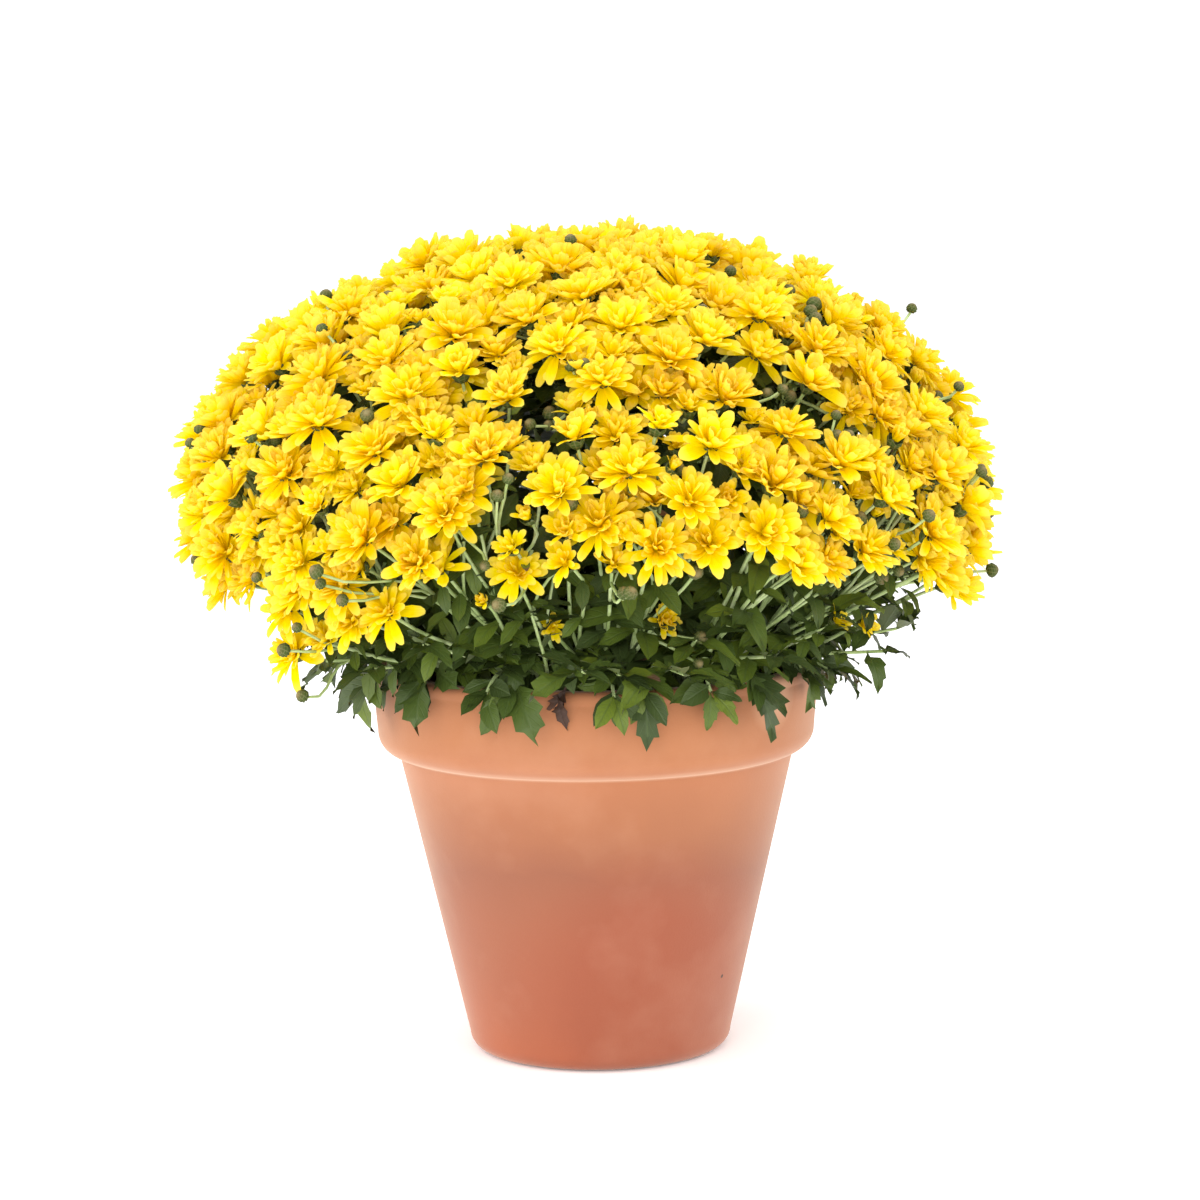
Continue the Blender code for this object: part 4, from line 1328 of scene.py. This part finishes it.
def tubes_mesh(name, tubes):
    """A mesh of loose chains of edges, whose points carry the stem's radius there."""
    points, edges, radii = [], [], []
    for tube in tubes:
        edges += [(len(points) + i, len(points) + i + 1) for i in range(len(tube) - 1)]
        points += [leaned(point) for point, _ in tube]
        radii += [radius for _, radius in tube]
    mesh = bpy.data.meshes.new(name)
    mesh.from_pydata(points, edges, [])
    keep_values(mesh, "thickness", "FLOAT", radii)
    return mesh


def stem_tree():
    """Round stems along chains of edges, as thick as each point says, with closed ends."""
    tree, given = new_tree("stems", {"Geometry": "Geometry", "Sides": "Int", "Material": "Material"})
    thickness = add_node(tree, "GeometryNodeInputNamedAttribute", {"Name": "thickness"}, data_type="FLOAT")
    line = add_node(tree, "GeometryNodeMeshToCurve", {"Mesh": given["Geometry"]})
    ring = add_node(tree, "GeometryNodeCurvePrimitiveCircle", {"Resolution": given["Sides"], "Radius": 1.0})
    tube = add_node(tree, "GeometryNodeCurveToMesh", {
        "Curve": line.outputs["Curve"],
        "Profile Curve": ring.outputs["Curve"],
        "Scale": thickness.outputs[0],
        "Fill Caps": True,
    })
    return end_tree(tree, tube.outputs["Mesh"], given["Material"])


def stem_material():
    made, tree, shader = principled("stem", 0.62, 0.3)
    green = ramp(tree, spread(tree, mottle(tree, 30.0, 260.0, 0.4), 0.34, 0.66), [
        (0.0, (0.225, 0.310, 0.095)),
        (0.5, (0.350, 0.445, 0.180)),
        (1.0, (0.480, 0.555, 0.300)),
    ])
    tree.links.new(green, shader.inputs["Base Color"])
    emboss(tree, shader, mottle(tree, 700.0, 2200.0, 0.5), 0.4, 0.0003)
    return made


STEMS = stem_tree()
stem_finish = stem_material()
taken = [head["point"] for head in all_heads]
for count, spray in enumerate(sprays, 1):
    spray["rng"] = random.Random(SEED * 13 + count)
    grow_stalks(spray, spray["rng"])
    grow_shoots(spray, spray["rng"])
    grow_buds(spray, taken, spray["rng"])
    lines = tubes_mesh("stem_lines", spray["tubes"])
    stems = grown(STEMS, f"stems_{count:02d}", lines, sides=STEM_SIDES, material=stem_finish)
    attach(stems, "root")
    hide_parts(f"spray_{count:02d}_stem_and_leaves")


# The buds and the cups under the heads
# Late buds stand in ones to threes in the gaps: green balls of overlapping scales, pale along their edges.
# Every head sits in a small scaly green cup, which is the top of its stalk.

# Rings up a bud of (height, radius), where one unit is its width
BUD_RINGS = (
    (-0.46, 0.10), (-0.42, 0.30), (-0.30, 0.43), (-0.12, 0.50),
    (0.08, 0.49), (0.25, 0.41), (0.37, 0.29), (0.43, 0.15),
)
# Rings up a cup of (height, radius, how far its points stand up), where one unit is the radius of its head
CUP_RINGS = ((-0.30, 0.040, 0.0), (-0.20, 0.150, 0.0), (-0.06, 0.220, 0.02), (0.05, 0.215, 0.06))
CUP_KIND = len(BUD_RELIEFS)
SCALES_ROUND = 10


def cup_mesh():
    """A scaly cup round the axis, its lip drawn up into points."""
    rows = []
    for i, (z, radius, points) in enumerate(CUP_RINGS):
        row = []
        for k in range(SCALES_ROUND):
            rise = -points if k % 2 else points
            point = polar(radius * (1 + rise), 2 * math.pi * k / SCALES_ROUND, z + rise)
            row.append((point, (k / SCALES_ROUND, i / (len(CUP_RINGS) + 1))))
        rows.append(row)
    return rows_mesh("cup", "bud", rows, closed=True)


def bud_mesh(relief):
    """A ball of scales that overlap like tiles. Every second corner of a ring stands out."""
    rows = []
    for i, (z, radius) in enumerate(BUD_RINGS):
        row = []
        for k in range(SCALES_ROUND):
            out = relief if (k + i) % 2 else -relief * 0.4
            turn = 2 * math.pi * (k + 0.25 * i) / SCALES_ROUND
            point = polar(radius * (1 + out), turn, z - 0.3 * out)
            row.append((point, (k / SCALES_ROUND, i / (len(BUD_RINGS) - 1))))
        rows.append(row)
    return rows_mesh("bud", "bud", rows, closed=True, tip=True)


def bud_material():
    made, tree, shader = principled("bud", 0.65, 0.15)
    place = map_place(tree, "bud")
    scale = ramp(tree, place["Y"], [
        (0.00, (0.034, 0.062, 0.010)),
        (0.50, (0.048, 0.074, 0.013)),
        (0.78, (0.082, 0.082, 0.024)),
        (1.00, (0.190, 0.135, 0.055)),
    ])
    ring_waves = number(tree, "SINE", number(tree, "MULTIPLY", place["Y"], (len(BUD_RINGS) - 1) * math.pi))
    round_waves = number(tree, "SINE", number(tree, "MULTIPLY", place["X"], SCALES_ROUND * math.pi))
    waves = number(tree, "ABSOLUTE", number(tree, "MULTIPLY", ring_waves, round_waves))
    scale = coat(tree, scale, (0.200, 0.190, 0.085), spread(tree, waves, 0.45, 0.05), 0.45)
    patches = spread(tree, mottle(tree, 250.0, 1200.0, 0.5), 0.4, 0.75)
    scale = coat(tree, scale, (0.020, 0.030, 0.008), patches, 0.3)
    tree.links.new(scale, shader.inputs["Base Color"])
    emboss(tree, shader, patches, 0.4, 0.0003)
    return made


bud_finish = bud_material()
bud_kit = new_kit("bud_pattern", [*[bud_mesh(relief) for relief in BUD_RELIEFS], cup_mesh()])
for count, spray in enumerate(sprays, 1):
    cups = [{**head, "kind": CUP_KIND} for head in spray["heads"]]
    places = points_mesh("bud_places", spray["buds"] + cups)
    buds = grown(SET_OUT, f"buds_and_cups_{count:02d}", places, kit=bud_kit, material=bud_finish)
    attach(buds, "root")
    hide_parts(f"spray_{count:02d}_stem_and_leaves")
remove_kit(bud_kit)


# The leaves
# Soft dark leaves stand alternately up every stem, lobed and toothed low down, and smaller and plain near
# the flowers. Their backs are paler, and a few old ones have browned. The lowest hang over the rim.

# Rows along a leaf of (share of its length, half width, how far the teeth lead forwards)
LOBED_EDGE = (
    (0.00, 0.012, 0), (0.14, 0.026, 0), (0.30, 0.110, 0), (0.42, 0.235, 0.05), (0.47, 0.165, 0),
    (0.60, 0.270, 0.07), (0.66, 0.170, 0), (0.79, 0.200, 0.06), (0.84, 0.110, 0), (1.00, 0.006, 0),
)
TOOTHED_EDGE = (
    (0.00, 0.012, 0), (0.12, 0.050, 0), (0.30, 0.175, 0), (0.48, 0.240, 0.04), (0.53, 0.205, 0),
    (0.68, 0.215, 0.05), (0.73, 0.165, 0), (0.88, 0.100, 0.02), (1.00, 0.008, 0),
)
PLAIN_EDGE = (
    (0.00, 0.014, 0), (0.12, 0.070, 0), (0.32, 0.185, 0),
    (0.56, 0.220, 0), (0.80, 0.160, 0), (1.00, 0.010, 0),
)
# Kinds of leaf, as (edge, bend, fold, wave). The last is a shrivelled one.
LEAF_KINDS = (
    (LOBED_EDGE, 0.20, 0.22, 0.05),
    (LOBED_EDGE, 0.38, 0.10, 0.09),
    (TOOTHED_EDGE, 0.22, 0.26, 0.04),
    (TOOTHED_EDGE, 0.44, 0.16, 0.07),
    (PLAIN_EDGE, 0.18, 0.30, 0.03),
    (PLAIN_EDGE, 0.34, 0.18, 0.06),
    (LOBED_EDGE, 0.90, 1.60, 0.22),
)
DRY_KIND = 6
LEAF_COLUMNS = (-1.0, 0.0, 1.0)
# Leaves of each ring of sprays, from the crown out: how many stand up a stem and a stalk, and their lengths
RING_LEAVES = (
    {"on_stem": 56, "lengths": (0.032, 0.046), "on_stalk": 12, "stalk_growth": 1.5},
    {"on_stem": 64, "lengths": (0.032, 0.046), "on_stalk": 12, "stalk_growth": 1.5},
    {"on_stem": 60, "lengths": (0.022, 0.034), "on_stalk": 9, "stalk_growth": 1.1},
)
STEM_LEAF_KINDS = (0, 2, 3, 4, 5, 5)
STEM_LEAF_LIFTS = (-0.25, 0.55)
STEM_LEAVES_FROM = 0.08
STEM_LEAVES_ALONG = 0.90
STALK_LEAF_KINDS = (0, 2, 4, 5, 4, 5)
STALK_LEAF_LENGTHS = (0.018, 0.029)
STALK_LEAF_TAPER = (1.15, 0.5)
STALK_LEAF_LIFTS = (0.1, 0.8)
STALK_LEAF_STRAY = 0.04
STALK_LEAVES_FROM = 0.20
STALK_LEAVES_ALONG = 0.70
SIDE_STALK_LEAVES = 3
UPPER_LEAF_KINDS = (4, 5)
# The longest that a leaf may be, as a share of how far below its flower it stands
LEAF_ROOM = 0.72
SHOOT_LEAVES = 11
SHOOT_TIP_LEAVES = 2
SHOOT_LEAF_KINDS = (2, 3, 4, 5, 4, 5)
SHOOT_LEAF_LENGTHS = (0.016, 0.027)
SHOOT_LEAVES_FROM = 0.40
# A shoot hangs if it ends lower than this over the lip, and its leaves droop from this share of it on
HANGING_UNDER = 0.007
DROOP_FROM = 0.75
# Where a shoot's leaf points, as ranges of how far it goes out, across and up
DROOPING_LEAF = ((0.3, 0.9), (0.0, 1.1), (0.1, -1.1))
STANDING_LEAF = ((0.2, 0.9), (0.4, 1.2), (-0.3, 0.8))
LARGE_LEAF_SHARE = 0.13
LARGE_LEAF_KINDS = (0, 1, 2, 3)
LARGE_LEAF_LENGTHS = (0.030, 0.040)
# What a leaf is taken to be where it is kept off the pot: its bend, its half width, and the gaps left
LEAF_BEND = 0.3
LEAF_HALF_WIDTH = 0.22
CLAY_GAP = 0.003
SOIL_GAP = 0.004
# How far shrivelled leaves stray aside, and how far out and down they point
DRY_STRAY = 1.2
DRY_DROOP = (0.5, 0.8)
# Where they are caught on the lip, as (azimuth in degrees, radius, height, length)
DRY_LEAVES = ((263.5, 0.1290, 0.2270, 0.019), (261.5, 0.1305, 0.2215, 0.015), (118.0, 0.1295, 0.2265, 0.020))
UP = Vector((0, 0, 1))


def leaf_mesh(name, kind):
    """A leaf of length 1 along +Z with its upper face to +X: folded along its midrib, bent back and waved."""
    edge, bend, fold, wave = kind
    rows = []
    for along, half, lead in edge:
        row = []
        for across in LEAF_COLUMNS:
            x = fold * abs(across) * half - bend * along**2
            x += wave * math.sin(9 * along + 2 * across) * abs(across)
            point = (x, across * half, along + lead * across**2)
            row.append((point, (across / 2 + 0.5, along)))
        rows.append(row)
    return rows_mesh(name, "leaf", rows)


def leaf_material():
    made, tree, shader = principled("leaf", 0.5, 0.28)
    place = map_place(tree, "leaf")
    doubled = number(tree, "MULTIPLY", place["X"], 2.0)
    across = number(tree, "ABSOLUTE", number(tree, "SUBTRACT", doubled, 1.0))
    slant = number(tree, "SUBTRACT", place["Y"], number(tree, "MULTIPLY", across, 0.28))
    ribs = spread(tree, number(tree, "SINE", number(tree, "MULTIPLY", slant, 44.0)), 0.80, 1.0)
    midrib = spread(tree, across, 0.16, 0.03)
    veins = number(tree, "MAXIMUM", midrib, number(tree, "MULTIPLY", ribs, 0.55))
    shade = stored(tree, "shade")
    green = ramp(tree, shade, [
        (0.0, (0.030, 0.047, 0.012)),
        (0.5, (0.051, 0.082, 0.013)),
        (0.9, (0.096, 0.140, 0.014)),
        (1.0, (0.150, 0.200, 0.017)),
    ])
    patches = spread(tree, mottle(tree, 60.0, 300.0, 0.4), 0.35, 0.65)
    green = coat(tree, green, (0.037, 0.060, 0.010), patches, 0.35)
    green = coat(tree, green, (0.066, 0.100, 0.028), veins, 0.42)
    tip = spread(tree, place["Y"], 0.74, 0.80)
    browned = number(tree, "MULTIPLY", number(tree, "GREATER_THAN", shade, 0.990), tip)
    green = coat(tree, green, (0.140, 0.078, 0.044), browned)
    green = coat(tree, green, (0.054, 0.027, 0.017), number(tree, "GREATER_THAN", shade, 0.9995))
    behind = add_node(tree, "ShaderNodeNewGeometry").outputs["Backfacing"]
    green = coat(tree, green, (0.074, 0.092, 0.040), behind, 0.55)
    tree.links.new(green, shader.inputs["Base Color"])
    emboss(tree, shader, veins, 0.5, -0.0004)
    return made


def in_pot(point):
    """Whether the point lies in or nearly in the clay or the soil."""
    out = leaned(point).xy.length
    if point.z > POT_HEIGHT + CLAY_GAP or out > RIM_RADIUS + CLAY_GAP:
        return False
    return out > RIM_RADIUS - WALL - CLAY_GAP or point.z < SOIL_TOP + SOIL_GAP


def touches_pot(leaf):
    side = leaf["heading"].cross(leaf["front"]).normalized()
    for share in (0.25, 0.5, 0.75, 1.0):
        bend = -leaf["front"] * (LEAF_BEND * share**2)
        for across in (-LEAF_HALF_WIDTH, 0, LEAF_HALF_WIDTH):
            if in_pot(leaf["point"] + (leaf["heading"] * share + bend + side * across) * leaf["size"]):
                return True
    return False


def add_leaf(spray, point, heading, upper, size, kinds):
    """Adds a leaf with its upper face to the given side, unless it would touch the pot."""
    heading = heading.normalized()
    front = (upper - heading * heading.dot(upper)).normalized()
    kind = spray["rng"].choice(kinds)
    leaf = placement(point, heading, front, size, kind, spray["rng"].random())
    if not touches_pot(leaf):
        spray["leaves"].append(leaf)


def slanted(way, spin, lifts, rng):
    """A heading out of a stem that goes this way, at this spin round it, lifted along it."""
    lift = rng.uniform(*lifts)
    return side_of(way, spin) * math.cos(lift) + way * math.sin(lift)


def grow_stem_leaves(spray, rng):
    """Leaves all the way up the main stem, in a spiral."""
    ring = RING_LEAVES[spray["ring"]]
    turn = any_turn(rng)
    for i in range(ring["on_stem"]):
        share = STEM_LEAVES_FROM + STEM_LEAVES_ALONG * i / (ring["on_stem"] - 1)
        way = curve_way(spray["curve"], share)
        heading = slanted(way, turn + i * GOLDEN_ANGLE, STEM_LEAF_LIFTS, rng)
        size = rng.uniform(*ring["lengths"])
        add_leaf(spray, bezier(spray["curve"], share), heading, way * 0.6 + UP, size, STEM_LEAF_KINDS)


def grow_stalk_leaves(spray, head, rng):
    """Leaves along one stalk, shorter towards its flower, so that none stands up through the petals."""
    ring = RING_LEAVES[spray["ring"]]
    turn = any_turn(rng)
    beside = "beside" in head
    steps = SIDE_STALK_LEAVES if beside else ring["on_stalk"]
    for i in range(steps):
        share = STALK_LEAVES_FROM + STALK_LEAVES_ALONG * i / (steps - 1)
        share += rng.uniform(-STALK_LEAF_STRAY, STALK_LEAF_STRAY)
        point = bezier(head["stalk"], share)
        way = curve_way(head["stalk"], share)
        heading = slanted(way, turn + i * GOLDEN_ANGLE, STALK_LEAF_LIFTS, rng)
        size = rng.uniform(*STALK_LEAF_LENGTHS) * (STALK_LEAF_TAPER[0] - STALK_LEAF_TAPER[1] * share)
        size *= ring["stalk_growth"]
        size = min(size, LEAF_ROOM * (point - head["point"]).length)
        kinds = STALK_LEAF_KINDS if share < 0.5 and not beside else UPPER_LEAF_KINDS
        add_leaf(spray, point, heading, way + UP * 0.5, size, kinds)


def grow_shoot_leaves(spray, curve, rng):
    """Leaves on both sides of a side shoot and a tuft at its tip. They droop where it hangs over the rim."""
    hanging = curve[-1].z < POT_HEIGHT + HANGING_UNDER
    for i in range(SHOOT_LEAVES + SHOOT_TIP_LEAVES):
        share = min(SHOOT_LEAVES_FROM + (1 - SHOOT_LEAVES_FROM) * i / (SHOOT_LEAVES - 1), 1.0)
        way = curve_way(curve, share)
        level = Vector((way.x, way.y, 0)).normalized()
        across = level.cross(UP) * (1 if i % 2 else -1)
        large = rng.random() < LARGE_LEAF_SHARE
        kinds = LARGE_LEAF_KINDS if large else SHOOT_LEAF_KINDS
        size = rng.uniform(*(LARGE_LEAF_LENGTHS if large else SHOOT_LEAF_LENGTHS))
        drooping = hanging and share > DROOP_FROM
        out, aside, rise = [rng.uniform(*ends) for ends in (DROOPING_LEAF if drooping else STANDING_LEAF)]
        heading = level * out + across * aside + UP * rise
        upper = level + UP * 0.4 if drooping else UP + level * 0.3
        add_leaf(spray, bezier(curve, share), heading, upper, size, kinds)


def drop_dry_leaves(rng):
    """Dead leaves that have shrivelled where they fell across the lip."""
    for degrees, radius, height, length in DRY_LEAVES:
        azimuth = math.radians(degrees)
        point = polar(radius, azimuth, height)
        turn = azimuth + rng.uniform(-DRY_STRAY, DRY_STRAY)
        heading = polar(DRY_DROOP[0], turn, -DRY_DROOP[1]).normalized()
        leaf = placement(point, heading, polar(1, azimuth, 0), length, DRY_KIND, 1.0)
        spray_at(point)["leaves"].append(leaf)


for spray in sprays:
    spray["leaves"] = []
    grow_stem_leaves(spray, spray["rng"])
    for head in spray["heads"]:
        grow_stalk_leaves(spray, head, spray["rng"])
    for curve in spray["shoots"]:
        grow_shoot_leaves(spray, curve, spray["rng"])
drop_dry_leaves(random.Random(SEED * 15))

leaf_finish = leaf_material()
leaf_kit = new_kit("leaf_pattern", [leaf_mesh(f"leaf_{i}", kind) for i, kind in enumerate(LEAF_KINDS)])
for count, spray in enumerate(sprays, 1):
    places = points_mesh("leaf_places", spray["leaves"])
    leaves = grown(SET_OUT, f"leaves_{count:02d}", places, kit=leaf_kit, material=leaf_finish)
    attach(leaves, "root")
    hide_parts(f"spray_{count:02d}_stem_and_leaves")
remove_kit(leaf_kit)


# The room
# A pale floor that glows a little, so that shadows on it stay faint, under a white world, a broad light
# from above, one by the camera and two at the sides. The camera stands at the photograph's height.

FLOOR_HALF_SIZE = 6.0
FLOOR_DROP = 0.0005
FLOOR_GLOW = 0.10
WORLD_STRENGTH = 1.18
# Each lamp as (name, place, what it is turned to, size, watts)
LAMPS = (
    ("overhead", (-0.15, -0.35, 2.2), (0, 0, 0.35), 2.4, 34),
    ("front_fill", (-0.35, -2.6, 0.8), (0, 0, 0.28), 1.4, 38),
    ("right_fill", (2.0, -0.3, 0.7), (0, 0, 0.15), 1.2, 12),
    ("left_fill", (-2.0, -0.3, 0.7), (0, 0, 0.15), 1.2, 17),
)
CAMERA_PLACE = (0.0033, -2.2, 0.540)
CAMERA_PITCH = math.radians(7.34)
CAMERA_ROLL = math.radians(0.84)
FOCAL_PIXELS = 3905
FRAME_PIXELS = 1200
SENSOR = 36.0

floor_mesh = bpy.data.meshes.new("floor")
shape = bmesh.new()
bmesh.ops.create_grid(shape, x_segments=1, y_segments=1, size=FLOOR_HALF_SIZE)
shape.to_mesh(floor_mesh)
shape.free()
floor_mesh.transform(Matrix.Translation((0, 0, -FLOOR_DROP)))
floor_finish, _, floor_shader = principled("floor", 0.9, 0.1)
floor_shader.inputs["Base Color"].default_value = (0.98, 0.98, 0.98, 1)
floor_shader.inputs["Emission Color"].default_value = (1, 1, 1, 1)
floor_shader.inputs["Emission Strength"].default_value = FLOOR_GLOW
floor_mesh.materials.append(floor_finish)
floor = linked("floor", floor_mesh)

world = bpy.data.worlds.new("studio")
world.use_nodes = True
world.node_tree.nodes["Background"].inputs["Color"].default_value = (1, 1, 1, 1)
world.node_tree.nodes["Background"].inputs["Strength"].default_value = WORLD_STRENGTH
bpy.context.scene.world = world

for name, place, target, size, power in LAMPS:
    lamp = bpy.data.lights.new(name, "AREA")
    lamp.size = size
    lamp.energy = power
    holder = linked(name, lamp)
    holder.location = place
    holder.rotation_euler = (Vector(target) - Vector(place)).to_track_quat("-Z", "Y").to_euler()

view = bpy.data.cameras.new("view")
view.sensor_width = SENSOR
view.lens = FOCAL_PIXELS / FRAME_PIXELS * SENSOR
view.clip_start = 0.05
camera = linked("view", view)
camera_turn = Matrix.Rotation(math.pi / 2 - CAMERA_PITCH, 4, "X") @ Matrix.Rotation(-CAMERA_ROLL, 4, "Z")
camera.matrix_world = Matrix.Translation(CAMERA_PLACE) @ camera_turn
bpy.context.scene.camera = camera
bpy.context.scene.view_settings.view_transform = "Standard"
